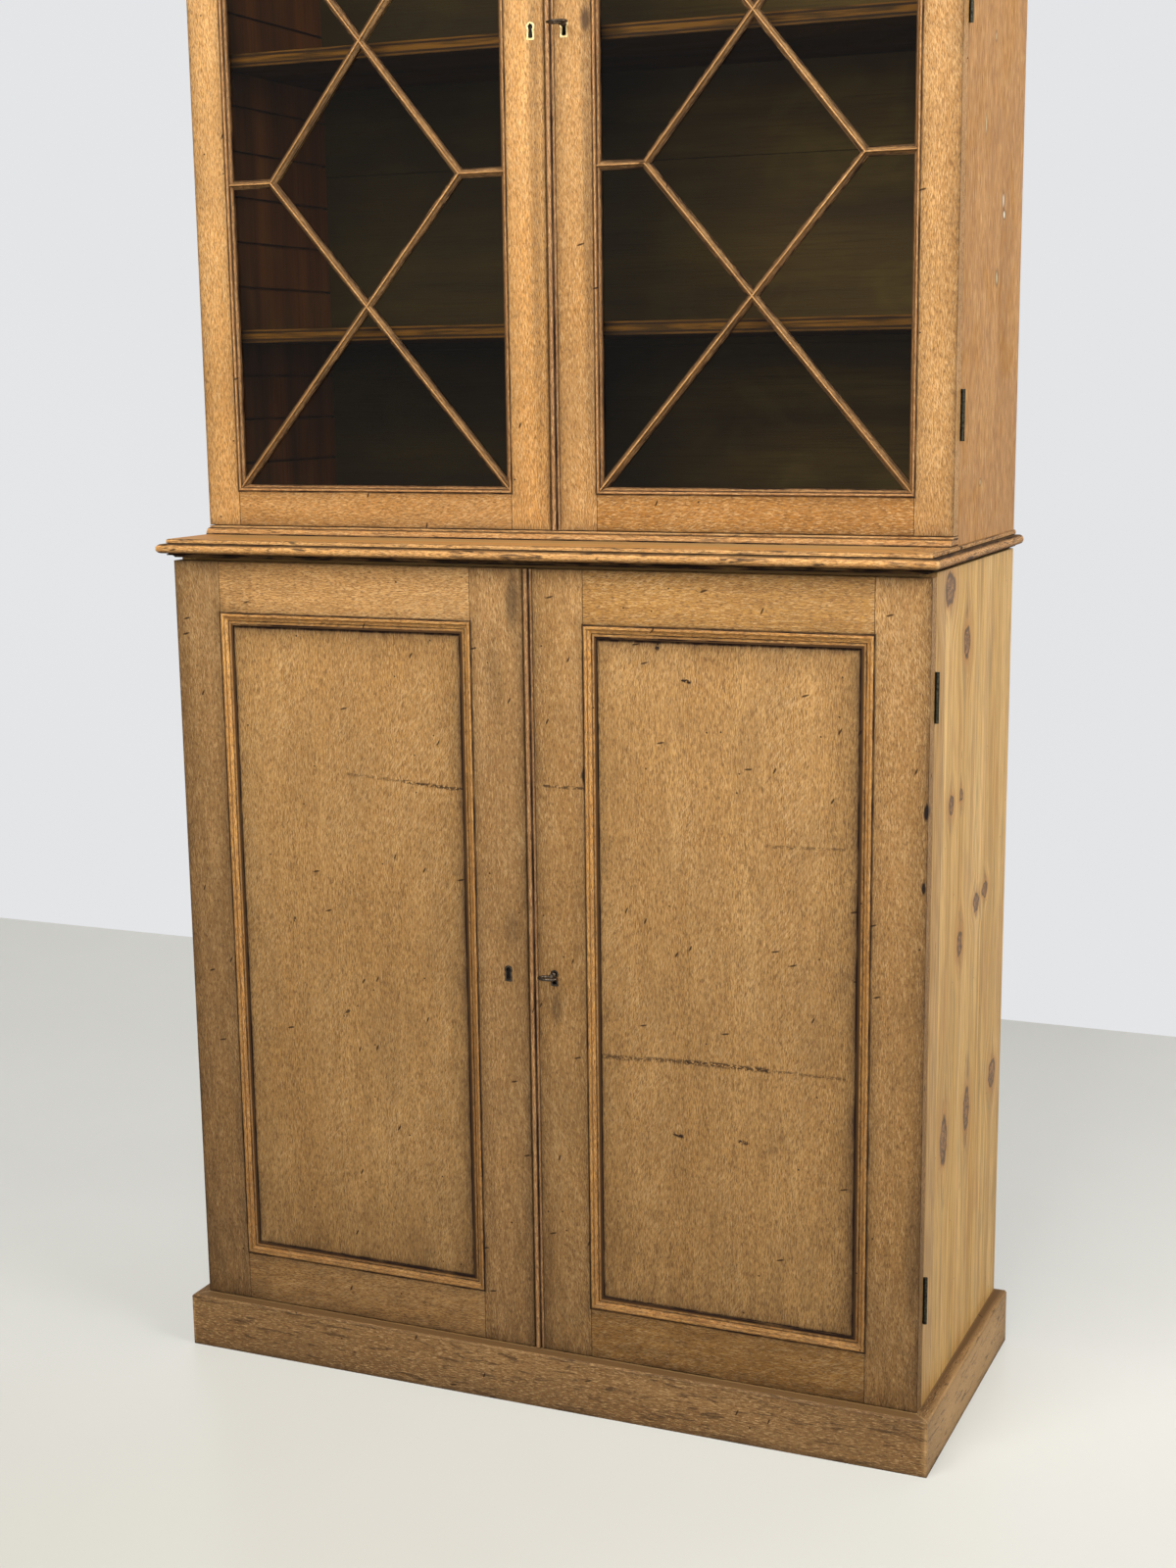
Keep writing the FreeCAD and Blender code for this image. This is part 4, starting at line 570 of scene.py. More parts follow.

# %% [markdown]
# The other mouldings take their shade from their profiles
# They need only a name, two tones and their profile's shade, along the axis that crosses the profile.
# The plinth is worn, and a pale patch on its right side is painted light.

# %% Give the oak to the other mouldings
plinth_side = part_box("plinth_skirting")[1].x
# Painted light: a pale patch on the plinth's right side.
PLINTH_SIDE_LIGHT = ((plinth_side, 0.02, 0.04), (0.012, 0.34, 0.12), 0.75, "#D2A66D")
MOULDINGS = [  # Finish, grain, pale, deep, the axis and stops of its shade, its wear, and its solids.
    ("oak_waxed_glazing_bars", FRAMED, "#F0BA76", "#B37F48", "Y", BAR_SHADE, {},
     "upper_left_bars", "upper_right_bars"),
    ("oak_waxed_cover_beads", UP, "#C08F5C", "#936740", "X", BEAD_SHADE, {},
     "lower_right_bead", "upper_right_bead"),
    ("oak_waxed_waist", ROUND, "#F1B56C", "#B88042", "Z", WAIST_SHADE, {"scuffs": 0.85, "worn": 0.4},
     "waist_moulding"),
    ("oak_waxed_base", ROUND, "#E0A868", "#B07C43", "Z", BASE_SHADE, {"scuffs": 0.5, "worn": 0.4},
     "upper_base_moulding"),
    ("oak_waxed_cornice", ROUND, "#D9A362", "#A9753C", "Z", CROWN_SHADE, {"worn": 0.5}, "cornice"),
    ("oak_worn_plinth", ROUND, "#AF8552", "#755632", "Z", PLINTH_SHADE,
     {"scuffs": 0.6, "worn": 0.3, "stains": [PLINTH_SIDE_LIGHT]}, "plinth_skirting"),
]
for name, run, pale, deep, axis, stops, wear, *boards in MOULDINGS:
    give(oak(name, run, pale, deep, rays=0.1, shade=[(axis, stops, False)], **wear), *boards)
print("oak given to", sum("oak" in s.material_slots[0].material.name for s in solids.values()), "solids")

# %% [markdown]
# Nails hold the back boards
# The back boards were nailed with cut nails, whose heads are square. They are small and flat, so they are
# drawn: even steps along one axis, on two lines of the other axis.

# %% Draw nail heads
NAIL_SHADE = [(0, 1), (1.8, 1), (2.6, 0)]
NAIL_PITCH, NAIL_INSET = 0.089, 0.008


def nail_heads(parts, along, across, lines):
    """1 on square nail heads, set at even steps along one axis on lines of the other axis."""
    beside = calc("PINGPONG", parts[along], NAIL_PITCH / 2)
    nearest = calc("MINIMUM", *[off_line(parts[across], line) for line in lines])
    return shades(calc("MAXIMUM", beside, nearest), NAIL_SHADE)


print("nails every", NAIL_PITCH * 1000, "mm")

# %% [markdown]
# Pine sides, cleaned back to the wood
# Under the waist the sides were left as plain pine, which shows broad yellow rings and dark knots. The
# rings bend round every knot, so each knot pushes the pattern aside before the rings are drawn. The
# knots' places are measured on the side that shows.

# %% Make the pine
KNOTS = [  # How far back, how high, half width and half height of each knot, in metres.
    (-0.116, 1.144, 0.020, 0.026), (-0.021, 1.066, 0.013, 0.028), (-0.086, 0.864, 0.011, 0.017),
    (-0.036, 0.868, 0.008, 0.012), (0.062, 0.704, 0.014, 0.016), (0.111, 0.712, 0.013, 0.013),
    (-0.027, 0.668, 0.011, 0.023), (0.183, 0.427, 0.017, 0.026), (0.032, 0.421, 0.013, 0.040),
    (-0.092, 0.415, 0.014, 0.044),
]
KNOT_HALO = [(0, 1), (1.1, 0.9), (1.6, 0.4), (2.6, 0)]
KNOT_HEART = [(0, 1), (0.95, 1), (1.1, 0)]
KNOT_RIM = [(0, 0.6), (0.25, 0.1), (0.7, 0), (0.88, 1), (1.08, 0.9), (1.2, 0)]
JOINT_SHADE = [(0, 1), (0.6, 0.9), (1.6, 0)]
STRIP_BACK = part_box("lower_side_right")[0].y + 0.044
THROUGH = 10  # An oval this deep marks both faces of a board.


def pine(name, run, pale, deep, knots=(), strip=None, grey=0.5, nailed=None):
    """Cleaned pine: soft rings, dark late wood and knots. Strip is where a glued front strip ends, and
    nailed says where nail heads are."""
    material = finish(name)
    grain, whole, parts = grain_of(run), grain_of(UP), parts_of()
    ragged = shaken(0.016, 0.014)
    reaches, tails = [], []
    for back, high, wide, tall in knots:
        centre = (0, back, high)
        sideways = calc("MULTIPLY", calc("SUBTRACT", whole, centre, kind=ARROWS), (0, -0.8, 0), kind=ARROWS)
        pushed = add(ARROWS, {"operation": "SCALE"},
                     {0: sideways, "Scale": patch(whole, centre, (THROUGH, wide * 4, tall * 3))})
        grain = calc("ADD", grain, pushed, kind=ARROWS)
        reaches.append(away(ragged, centre, (THROUGH, wide * 1.1, tall * 0.7)))
        tails.append(patch(ragged, centre, (THROUGH, wide * 1.1, tall * 2.8)))
    rings = streaks(grain, 0.05, 0.9, 0.35, 0.7, 0.6, 0.5)
    fine = streaks(grain, 0.0026, 0.05, 0.45, 0.66, 0.65)
    look = blend(
        pale, (deep, rings, 0.9), ("#9A7038", streaks(grain, 0.013, 0.5, 0.44, 0.6, 0.6, 0.4), 0.42),
        ("#B0702F", streaks(grain, 0.045, 0.22, 0.5, 0.72, 0.6, 0.6), 0.3),
        ("#8E6430", streaks(grain, 0.0045, 0.35, 0.5, 0.7, 0.65, 0.3), 0.65), ("#9A7038", fine, 0.5),
        ("#85754F", streaks(grain, 0.02, 0.16, 0.58, 0.74, 0.65), grey))
    if knots:
        nearest = calc("MINIMUM", *reaches)
        combed = calc("MULTIPLY", calc("MAXIMUM", *tails), streaks(grain, 0.0035, 0.05, 0.44, 0.6, 0.6))
        knot = blend("#A87A46", ("#543719", streaks(grain, 0.005, 0.012, 0.3, 0.7, 0.7, 2.0), 1))
        look = blend(look, ("#51412A", combed, 0.9), ("#B27D3B", shades(nearest, KNOT_HALO, 1), 1),
                     (knot, shades(nearest, KNOT_HEART, 1), 1),
                     ("#38240F", shades(nearest, KNOT_RIM, 1), 0.65))
    if strip is not None:
        brown = blend("#C2975B", ("#9C743D", streaks(grain, 0.004, 0.08, 0.4, 0.62), 1))
        look = blend(look, (brown, calc("LESS_THAN", parts["Y"], strip), 0.9),
                     ("#6B4A25", shades(off_line(parts["Y"], strip), JOINT_SHADE), 0.6))
    if nailed is not None:
        look = blend(look, ("#2A211A", nail_heads(parts, *nailed), 0.9))
    nicks = calc("MAXIMUM", dashes(shaken(), 0.0024, 0.0024, 0, 0.87),
                 dashes(shaken(), 0.002, 0.012, 4, 0.87))
    coat(blend(look, ("#33200F", nicks, 0.7)), (0.5, 0.64, rings),
         calc("ADD", rings, fine, clamp=True), {"Strength": 0.4, "Distance": 0.0005}, 0.001,
         {"IOR": WOOD_IOR, "Specular IOR Level": 0.35})
    return material


print("pine ready, with", len(KNOTS), "knots")

# %% [markdown]
# Which boards are pine
# The sides show, so they were cleaned, and have the knots and the glued strip. The boards inside were only
# planed. The back stands against a wall, so it was left dry, and is nailed along its head and foot.

# %% Give the pine to the boards
give(pine("pine_cleaned_sides", UP, "#E6BA72", "#CDA057", KNOTS, STRIP_BACK, 0.55),
     "lower_side_left", "lower_side_right")
give(pine("pine_planed_boards", ACROSS, "#A88653", "#86663A"),
     "lower_floor", "lower_shelves", "lower_top_rails", "plinth_rails", "lower_top_board")
back_foot, back_head = (corner.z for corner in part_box("lower_back_boards"))
back_nails = ("X", "Z", (back_foot + NAIL_INSET, back_head - NAIL_INSET))
give(pine("pine_dry_back", UP, "#8A7550", "#6B5838", grey=0.4, nailed=back_nails), "lower_back_boards")
print("strip ends at", round(STRIP_BACK, 4))

# %% [markdown]
# Stained wood inside the bookcase
# The inside was stained long ago: red-brown on the sides and shelves, olive on the back boards. A side is
# one board with two finishes, so the place across it says which finish a point has.

# %% Make the stained wood
REED_SHADE = [(0, 0.3), (0.9, 0.1), (1.8, 0.1), (2.6, 0.9), (4.6, 0.92), (5.2, 0.05), (12.4, 0.1),
              (13.0, 0.9), (15.2, 0.92), (15.8, 0.2), (17.4, 0.5), (18.0, 0.5), (18.2, 0)]
# Painted shade across the bookcase's back boards, darkest on the left.
BACK_DIM = [(-540, 0.72), (-300, 0.68), (0, 0.5), (200, 0.05), (540, 0)]
BACK_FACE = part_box("upper_back_boards")[1].y - 0.001
SIDE_FACE, SKIN_START = 0.54, 0.5385
FILLINGS = [  # How far back, how high, half width, half height and colour of each filled hole.
    (0.123, 1.624, 0.004, 0.009, "#E8E2CE"), (0.128, 1.607, 0.006, 0.006, "#E8E2CE"),
    (0.095, 1.526, 0.006, 0.009, "#B9A580"), (0.018, 1.708, 0.002, 0.012, "#CDBB95"),
    (0.063, 1.819, 0.004, 0.006, "#C4A87C"), (0.029, 1.267, 0.004, 0.004, "#C4A87C"),
]


def stained(name, run, pale, deep, outside=(), edge=None, nailed=None, dim=None):
    """Old stain on planed boards. Outside is the list of filled holes on the waxed face of a side, edge
    says where a shelf's waxed front is, nailed where nail heads are, and dim how back boards are painted
    darker across, as painted shade, most on the left; their far face was left dry."""
    material = finish(name)
    grain, parts = grain_of(run), parts_of()
    fine = streaks(grain, 0.003, 0.09, 0.45, 0.7)
    worn = streaks(grain, 0.1, 0.14, 0.5, 0.72, 0.65, 1.0)
    look = blend(pale, (deep, streaks(grain, 0.06, 0.5, 0.3, 0.7, 0.6), 1), (deep, fine, 0.5),
                 ("#8E7A45", worn, 0.1))
    if dim is not None:
        dry = blend("#8C7650", ("#77623F", streaks(grain, 0.05, 0.9, 0.35, 0.65, 0.6), 1),
                    ("#665230", streaks(grain, 0.004, 0.25, 0.45, 0.65, 0.6), 0.5))
        look = blend(look, ("#1A1206", shades(parts["X"], dim), 1),
                     (dry, calc("GREATER_THAN", parts["Y"], BACK_FACE), 1))
    if nailed is not None:
        look = blend(look, ("#211A14", nail_heads(parts, *nailed), 0.9))
    if edge is not None:
        front_place, tops = edge
        bright = blend("#6D4413", ("#3E2609", streaks(grain, 0.003, 0.06, 0.4, 0.65), 1),
                       *[("#24140A", shades(off_line(parts["Z"], top), REED_SHADE), 1)
                         for top in tops])
        look = blend(look, (bright, calc("LESS_THAN", parts["Y"], front_place), 1))
    if outside:
        place = shaken(0.006, 0.02)
        skin = blend("#C18D51", ("#A67339", streaks(grain, 0.03, 0.6, 0.3, 0.7), 1),
                     ("#8A5C2E", streaks(grain, 0.0026, 0.016, 0.46, 0.6), 0.65),
                     ("#DFB47A", streaks(grain, 0.0028, 0.024, 0.46, 0.36), 0.5),
                     ("#96683A", streaks(grain, 0.05, 0.12, 0.5, 0.7, 0.6, 1.5), 0.5))
        for back, high, wide, tall, tint in outside:
            centre = (SIDE_FACE, back, high)
            skin = blend(skin,
                         ("#4B3119", patch(place, centre, (THROUGH, wide * 1.9, tall * 1.6)), 0.8),
                         (tint, patch(place, centre, (THROUGH, wide, tall)), 1.6))
        out = calc("GREATER_THAN", calc("ABSOLUTE", parts["X"]), SKIN_START)
        look = blend(look, (skin, out, 1))
    coat(look, (0.55, 0.75, worn), calc("ADD", fine, worn, clamp=True),
         {"Strength": 0.35, "Distance": 0.0004}, 0.0012,
         {"IOR": WOOD_IOR, "Specular IOR Level": 0.2 if outside else 0.08})
    return material


print("stain ready, with", len(FILLINGS), "filled holes")

# %% [markdown]
# Which boards are stained
# A shelf's front was waxed like the doors. Its dark lines are measured down from the shelf's top, so the
# tops are read from the solid: a top is a height that has another one a shelf's thickness below it.

# %% Give the stain to the boards
SHELF_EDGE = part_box("upper_shelves")[0].y + 0.0006
SHELF_THICKNESS = 0.018
front_heights = {round(v.co.z, 5) for v in solids["upper_shelves"].data.vertices if v.co.y < SHELF_EDGE}
SHELF_TOPS = [high for high in sorted(front_heights)
              if any(abs(high - low - SHELF_THICKNESS) < 0.0005 for low in front_heights)]
give(stained("oak_waxed_outside_stained_inside", UP, "#74401C", "#43250D", outside=FILLINGS),
     "upper_side_left", "upper_side_right")
back_left, back_right = (corner.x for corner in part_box("upper_back_boards"))
back_nails = ("Z", "X", (back_left + NAIL_INSET, back_right - NAIL_INSET))
give(stained("stained_olive_back_boards", ACROSS, "#58421B", "#3C2911", nailed=back_nails, dim=BACK_DIM),
     "upper_back_boards")
give(stained("stained_shelves_waxed_edge", ACROSS, "#5C3A1D", "#3A2410", edge=(SHELF_EDGE, SHELF_TOPS)),
     "upper_shelves")
give(stained("stained_carcass_boards", ACROSS, "#6B4C24", "#4A3216"), "upper_floor", "upper_roof")
print("shelf tops at", SHELF_TOPS)

# %% [markdown]
# Old sheet glass
# Sheet glass drawn by hand is clear and a little wavy, so what lies behind it swims. The waves are 60 mm
# wide and very shallow. Lamps have to shine through, or the shelves would be black: a Light Path
# node makes the pane transparent for shadow rays alone.

# %% Make the glass
GLASS_WAVE, GLASS_TINT, GLASS_IOR = 0.06, "#F4F7F0", 1.5
glass = finish("sheet_glass_drawn")
wave = add("Bump", {"Strength": 0.15, "Distance": 0.0006}, {"Height": clouds(1 / GLASS_WAVE, 1)})
haze = add("MapRange", {"From Min": 0.5, "From Max": 0.8, "To Min": 0.0, "To Max": 0.03},
           {"Value": clouds(18, 5, 0.7)})
pane = add("BsdfPrincipled",
           {"Transmission Weight": 1, "IOR": GLASS_IOR, "Specular IOR Level": 0.1},
           {"Base Color": GLASS_TINT, "Normal": wave, "Roughness": haze})
clear = add("BsdfTransparent", {}, {"Color": GLASS_TINT})
shadow = add("LightPath").outputs["Is Shadow Ray"]
both = add("MixShader", {}, {0: shadow, 1: pane, 2: clear})
add("OutputMaterial", {}, {"Surface": both})
give(glass, "upper_left_glass", "upper_right_glass")
print("waves", GLASS_WAVE * 1000, "mm wide")

# %% [markdown]
# Metals: brass, iron and steel
# Brass rims have gone brown in their corners and stay bright where fingers rub. Hinges are cast iron
# gone green-black. Keys, locks and bolts are steel, filed and darkened by oil. One function serves all
# of them, with its own colours and roughness each time.

# %% Make the metals


def metal(name, bright, dull, rough, grit=0.004, filed=False):
    """Bare metal with tarnish in blotches and corners. Filed metal has long marks across it."""
    material = finish(name)
    tarnish = add("MapRange", {"From Min": 0.38, "From Max": 0.68}, {"Value": clouds(1 / grit, 4, 0.65)})
    look = blend(bright, (dull, tarnish, 1), (bright, arris(0.0008), 0.6), ("#1A120A", recess(0.004), 0.8))
    grain, length = (grain_of(ACROSS), 0.02) if filed else (grain_of(UP), 0.0006)
    coat(look, (rough, rough + 0.3, tarnish), streaks(grain, 0.0006, length, 0.3, 0.7),
         {"Strength": 0.25, "Distance": 0.0002}, 0.0003, {"Metallic": 1})
    return material


brass = metal("brass_cast_tarnished", "#F2DDA6", "#C7A25E", 0.3)
dark_steel = metal("steel_rim_darkened", "#5E564C", "#2E2720", 0.45)
key_steel = metal("steel_key_oiled", "#64594D", "#2C231A", 0.3)
iron = metal("iron_hinge_cast", "#4B4A3E", "#25241D", 0.5)
lock_steel = metal("steel_lock_filed", "#8A847A", "#655D52", 0.4, grit=0.012, filed=True)
give(iron, "hinge_fixed_leaves")
for stage, rim in (("lower", dark_steel), ("upper", brass)):
    give(rim, stage + "_left_escutcheon", stage + "_right_escutcheon")
    give(iron, stage + "_left_hinge_leaves", stage + "_right_hinge_leaves")
    give(lock_steel, *["%s_%s" % (stage, part) for part in (
        "right_lock_case", "right_lock_bolt", "left_bolt_plates", "left_bolt_top", "left_bolt_bottom")])
print("metals given")

# %% [markdown]
# Bent and turned pieces are rows of points
# A bent wire and a turned stem are both rings of points, one after the other, joined by faces. That is
# the shortest way to make either. The rings of a closed wire meet at their ends, and a stem is closed by
# a face at each end. The last function makes an object of them and lets it ride on its body.

# %% Join rings of points
SHARP_DEGREES = 35


def ring(count):
    """Even turns round a circle, in radians."""
    return [math.tau * part / count for part in range(count)]


def join_rows(work, rows, looped=False):
    """Joins rows of points by faces. Looped rows meet at their ends, others are closed by end faces."""
    made = [[work.verts.new(point) for point in row] for row in rows]
    for first, second in zip(made, made[1:] + made[:1] if looped else made[1:]):
        for at in range(len(first)):
            after = (at + 1) % len(first)
            work.faces.new((first[at], first[after], second[after], second[at]))
    if not looped:
        work.faces.new(reversed(made[0]))
        work.faces.new(made[-1])


def finish_piece(name, work, material, body):
    """Makes an object of the work, with faces outward, and lets it ride on a body."""
    bmesh.ops.recalc_face_normals(work, faces=work.faces)
    for face in work.faces:
        face.smooth = True
    mesh = bpy.data.meshes.new(name)
    work.to_mesh(mesh)
    work.free()
    mesh.set_sharp_from_angle(angle=math.radians(SHARP_DEGREES))
    mesh.materials.append(material)
    made = bpy.data.objects.new(name, mesh)
    bpy.context.scene.collection.objects.link(made)
    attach(made, body)
    return made


print("shape helpers ready")

# %% [markdown]
# Two keys, bent and turned
# A key like this has an oval bow to hold, a turned collar that stops at the rim, a round stem, and a bit
# that throws the bolt. The solids have all of these in plain shapes, and stay inside the same box. Here
# the bow is a round wire bent to an oval that dips where the stem meets it, and the collar and stem
# are turned from a profile, as on a lathe.

# %% Shape the keys
BOW_WIRE, BOW_DIP, BOW_HALF_LENGTH, DIP_WIDTH = 0.0019, 0.0012, 0.010, 0.35
COLLAR = [  # How far behind the bow's front, and how thick, at each turn of the profile.
    (0.0184, 0.0008), (0.0188, 0.0020), (0.0196, 0.0029), (0.0204, 0.0031), (0.0211, 0.0024),
    (0.0220, 0.0021), (0.0262, 0.0021), (0.0268, 0.0027), (0.0276, 0.0034), (0.0284, 0.0037),
    (0.0291, 0.0034), (0.0296, 0.0027), (0.0300, 0.0022),
]
STEM, STEM_BEVEL = 0.0022, 0.0006
BIT_REAR, BIT_FRONT, BIT_REACH, BIT_HALF, BIT_BEVEL = 0.0056, 0.0084, 0.007, 0.0012, 0.0003
BIT_BEVEL_START = 0.06
BIT_HALVES = ((0, 0.55, 0), (0.5, 1, BIT_BEVEL))  # Start and end down its reach, and how far drawn in.
BOW_STEPS, WIRE_SIDES, STEM_SIDES = 56, 14, 24


def shape_key(stage):
    """A key in the place of the solid key of this stage."""
    low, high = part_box("%s_right_key" % stage)
    x, front, tip = (low.x + high.x) / 2, low.y, high.y
    z = low.z + BIT_REACH
    half_width = (high.x - low.x) / 2 - BOW_WIRE
    half_length = BOW_HALF_LENGTH - BOW_WIRE
    work = bmesh.new()
    rows = []
    for turn in ring(BOW_STEPS):
        dip = BOW_DIP * math.exp(-((math.cos(turn) / DIP_WIDTH) ** 2)) if math.sin(turn) > 0 else 0
        back = front + BOW_HALF_LENGTH + half_length * math.sin(turn) - dip
        centre = Vector((x + half_width * math.cos(turn), back, z))
        outward = Vector((math.cos(turn) * half_length, math.sin(turn) * half_width, 0)).normalized()
        rows.append([centre + BOW_WIRE * (outward * math.cos(a) + Vector((0, 0, math.sin(a))))
                     for a in ring(WIRE_SIDES)])
    join_rows(work, rows, looped=True)
    turned = [(front + back, thick) for back, thick in COLLAR]
    turned += [(tip - STEM_BEVEL, STEM), (tip, STEM - STEM_BEVEL)]
    join_rows(work, [[Vector((x + thick * math.cos(a), y, z + thick * math.sin(a)))
                      for a in ring(STEM_SIDES)] for y, thick in turned])
    for upper, lower, pinch in BIT_HALVES:
        rows = []
        for share, shrink in ((upper, pinch), (lower - BIT_BEVEL_START, pinch), (lower, pinch + BIT_BEVEL)):
            half, near, far = BIT_HALF - shrink, tip - BIT_FRONT + shrink, tip - BIT_REAR - shrink
            rows.append([Vector((x + a, b, z - BIT_REACH * share))
                         for a, b in ((-half, near), (half, near), (half, far), (-half, far))])
        join_rows(work, rows)
    made = finish_piece("%s_key_turned" % stage, work, key_steel, "%s_key" % stage)
    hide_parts("%s_right_key" % stage)


for stage in ("lower", "upper"):
    shape_key(stage)
print("keys shaped")

# %% [markdown]
# Screws, one head made and the rest placed
# Every hinge leaf, lock and bolt plate is held by slotted screws. Geometry Nodes suit them, because one
# head is made once and set at every place, each turned by its own chance as a fitter leaves them. The
# places are the points of a mesh. A closed hinge leaves 0.2 mm between its leaves, so its screws stand
# less than half of that proud. The slot is cut, and also drawn near-black, as painted shade and for the
# old oil it holds.

# %% Build the screws
HEAD_SIDES, HEAD_TAPER, SLOT_LENGTH, SLOT_DARK = 20, 0.74, 2.4, 0.15  # The last three in head radii.
screw_metal = finish("steel_screw_slotted")
stored = add("Attribute", {"attribute_name": "spot"}).outputs["Vector"]
spot = add("SeparateXYZ", {}, {0: stored}).outputs
# Painted shade and old oil: the slot is drawn near-black.
slot = calc("LESS_THAN", calc("ABSOLUTE", spot["Y"]), SLOT_DARK)
look = blend("#8E857A",
             ("#5A5046", streaks(grain_of(UP), 0.0015, 0.0015, 0.35, 0.65), 1),
             ("#0C0906", slot, 0.9))
shader = add("BsdfPrincipled", {"Metallic": 1, "Roughness": 0.36}, {"Base Color": look})
add("OutputMaterial", {}, {"Surface": shader})

tree = bpy.data.node_groups.new("screw_heads", "GeometryNodeTree")
SCREW_INPUTS = (("Geometry", "Geometry"), ("Head Radius", "Float"), ("Head Height", "Float"),
                ("Slot Width", "Float"), ("Sunk", "Float"), ("Facing", "Vector"), ("Seed", "Int"),
                ("Metal", "Material"))
sockets = {}
for name, kind in SCREW_INPUTS:
    socket = tree.interface.new_socket(name=name, in_out="INPUT", socket_type="NodeSocket" + kind)
    sockets[name] = socket.identifier
tree.interface.new_socket(name="Geometry", in_out="OUTPUT", socket_type="NodeSocketGeometry")
entry = add("NodeGroupInput").outputs
radius, height = entry["Head Radius"], entry["Head Height"]

cone = add("GeometryNodeMeshCone", {"Vertices": HEAD_SIDES},
           {"Radius Top": calc("MULTIPLY", radius, HEAD_TAPER), "Radius Bottom": radius,
            "Depth": calc("ADD", height, entry["Sunk"])})
down = add("CombineXYZ", {}, {"Z": calc("MULTIPLY", entry["Sunk"], -1)})
head = add("GeometryNodeTransform", {}, {"Geometry": cone, "Translation": down})
size = add("CombineXYZ", {},
           {"X": calc("MULTIPLY", radius, SLOT_LENGTH), "Y": entry["Slot Width"], "Z": height})
block = add("GeometryNodeMeshCube", {}, {"Size": size})
raised = add("CombineXYZ", {}, {"Z": height})
cutter = add("GeometryNodeTransform", {}, {"Geometry": block, "Translation": raised})
slotted = add("GeometryNodeMeshBoolean", {"operation": "DIFFERENCE"}, {"Mesh 1": head, "Mesh 2": cutter})
spots = add(ARROWS, {"operation": "SCALE"},
            {0: add("GeometryNodeInputPosition"), "Scale": calc("DIVIDE", 1, radius)})
marked = add("GeometryNodeStoreNamedAttribute", {"data_type": "FLOAT_VECTOR", "Name": "spot"},
             {"Geometry": slotted, "Value": spots})
aimed = add("FunctionNodeAlignRotationToVector", {"axis": "Z"}, {"Vector": entry["Facing"]})
chance = add("FunctionNodeRandomValue", {"data_type": "FLOAT", 2: 0.0, 3: math.pi}, {8: entry["Seed"]})
spin = add("FunctionNodeEulerToRotation", {}, {0: add("CombineXYZ", {}, {"Z": chance})})
turned = add("FunctionNodeRotateRotation", {"rotation_space": "LOCAL"}, {0: aimed, 1: spin})
placed = add("GeometryNodeInstanceOnPoints", {},
             {"Points": entry["Geometry"], "Instance": marked, "Rotation": turned})
real = add("GeometryNodeRealizeInstances", {}, {0: placed})
coated = add("GeometryNodeSetMaterial", {}, {"Geometry": real, "Material": entry["Metal"]})
add("NodeGroupOutput", {}, {0: coated})
screw_tree = tree
print("screw tree has", len(screw_tree.nodes), "nodes")

# %% [markdown]
# Where the screws go
# A hinge leaf has three screws in a slight zigzag, so that they do not split the stile along its grain.
# A lock case has one near each corner, and a bolt plate has two above and two below.

# %% Place the screws
HINGE_SCREW = {"Head Radius": 0.0031, "Head Height": 0.00008, "Sunk": 0.0003, "Slot Width": 0.0009}
PLATE_SCREW = {"Head Radius": 0.0024, "Head Height": 0.0007, "Sunk": 0.0003, "Slot Width": 0.0007}
LEAF_MIDDLE, ZIGZAG, LEAF_GAP = 0.531, 0.0022, 0.0001
LEAF_ROW = ((0.16, 1), (0.5, -1), (0.84, 1))  # How far up the leaf, and to which side, each screw is.
CORNER_INSET = 0.004
PLATE_ASIDE, PLATE_ALONG = 0.0086, 0.016  # How far a plate's screws sit from its middle.
STAGES = {  # Where the leaves close, hinges' feet and heads, then the bolts: right, back and heights.
    "lower": (-0.182, ((0.1955, 0.2590), (0.9840, 1.0475)), -0.04475, -0.1793, (0.134, 1.1085)),
    "upper": (-0.082, ((1.3230, 1.3865), (1.8153, 1.8787), (2.3075, 2.3710)), -0.03525, -0.0793,
              (1.262, 2.435)),
}


def screw_mesh(places, facing, sizes):
    """A plain mesh of screw heads at these places."""
    points = bpy.data.meshes.new("screw_places")
    points.from_pydata(places, [], [])
    holder = bpy.data.objects.new("screw_places", points)
    bpy.context.scene.collection.objects.link(holder)
    maker = holder.modifiers.new("screws", "NODES")
    maker.node_group = screw_tree
    for name, value in {**sizes, "Facing": (0, facing, 0), "Seed": 7, "Metal": screw_metal}.items():
        maker[sockets[name]] = value
    evaluated = holder.evaluated_get(bpy.context.evaluated_depsgraph_get())
    mesh = bpy.data.meshes.new_from_object(evaluated)
    bpy.data.objects.remove(holder)
    return mesh


def leaf_places(hinges, side, y):
    """Three places on each hinge leaf of one side, at this depth."""
    return [(side * (LEAF_MIDDLE + zig * ZIGZAG), y, foot + (head - foot) * share)
            for foot, head in hinges for share, zig in LEAF_ROW]


def set_screws(body, meshes):
    """Joins the meshes of one body and lets them ride on it."""
    work = bmesh.new()
    for mesh in meshes:
        work.from_mesh(mesh)
    made = finish_piece("%s_screws" % body, work, screw_metal, body)
    print(body, len(made.data.polygons), "faces")


print("screw helpers ready")

# %% [markdown]
# One mesh of screws for each body
# The screws of a moving leaf, of a lock and of a bolt plate go with their door. Those of the fixed leaves
# stay with the carcass.

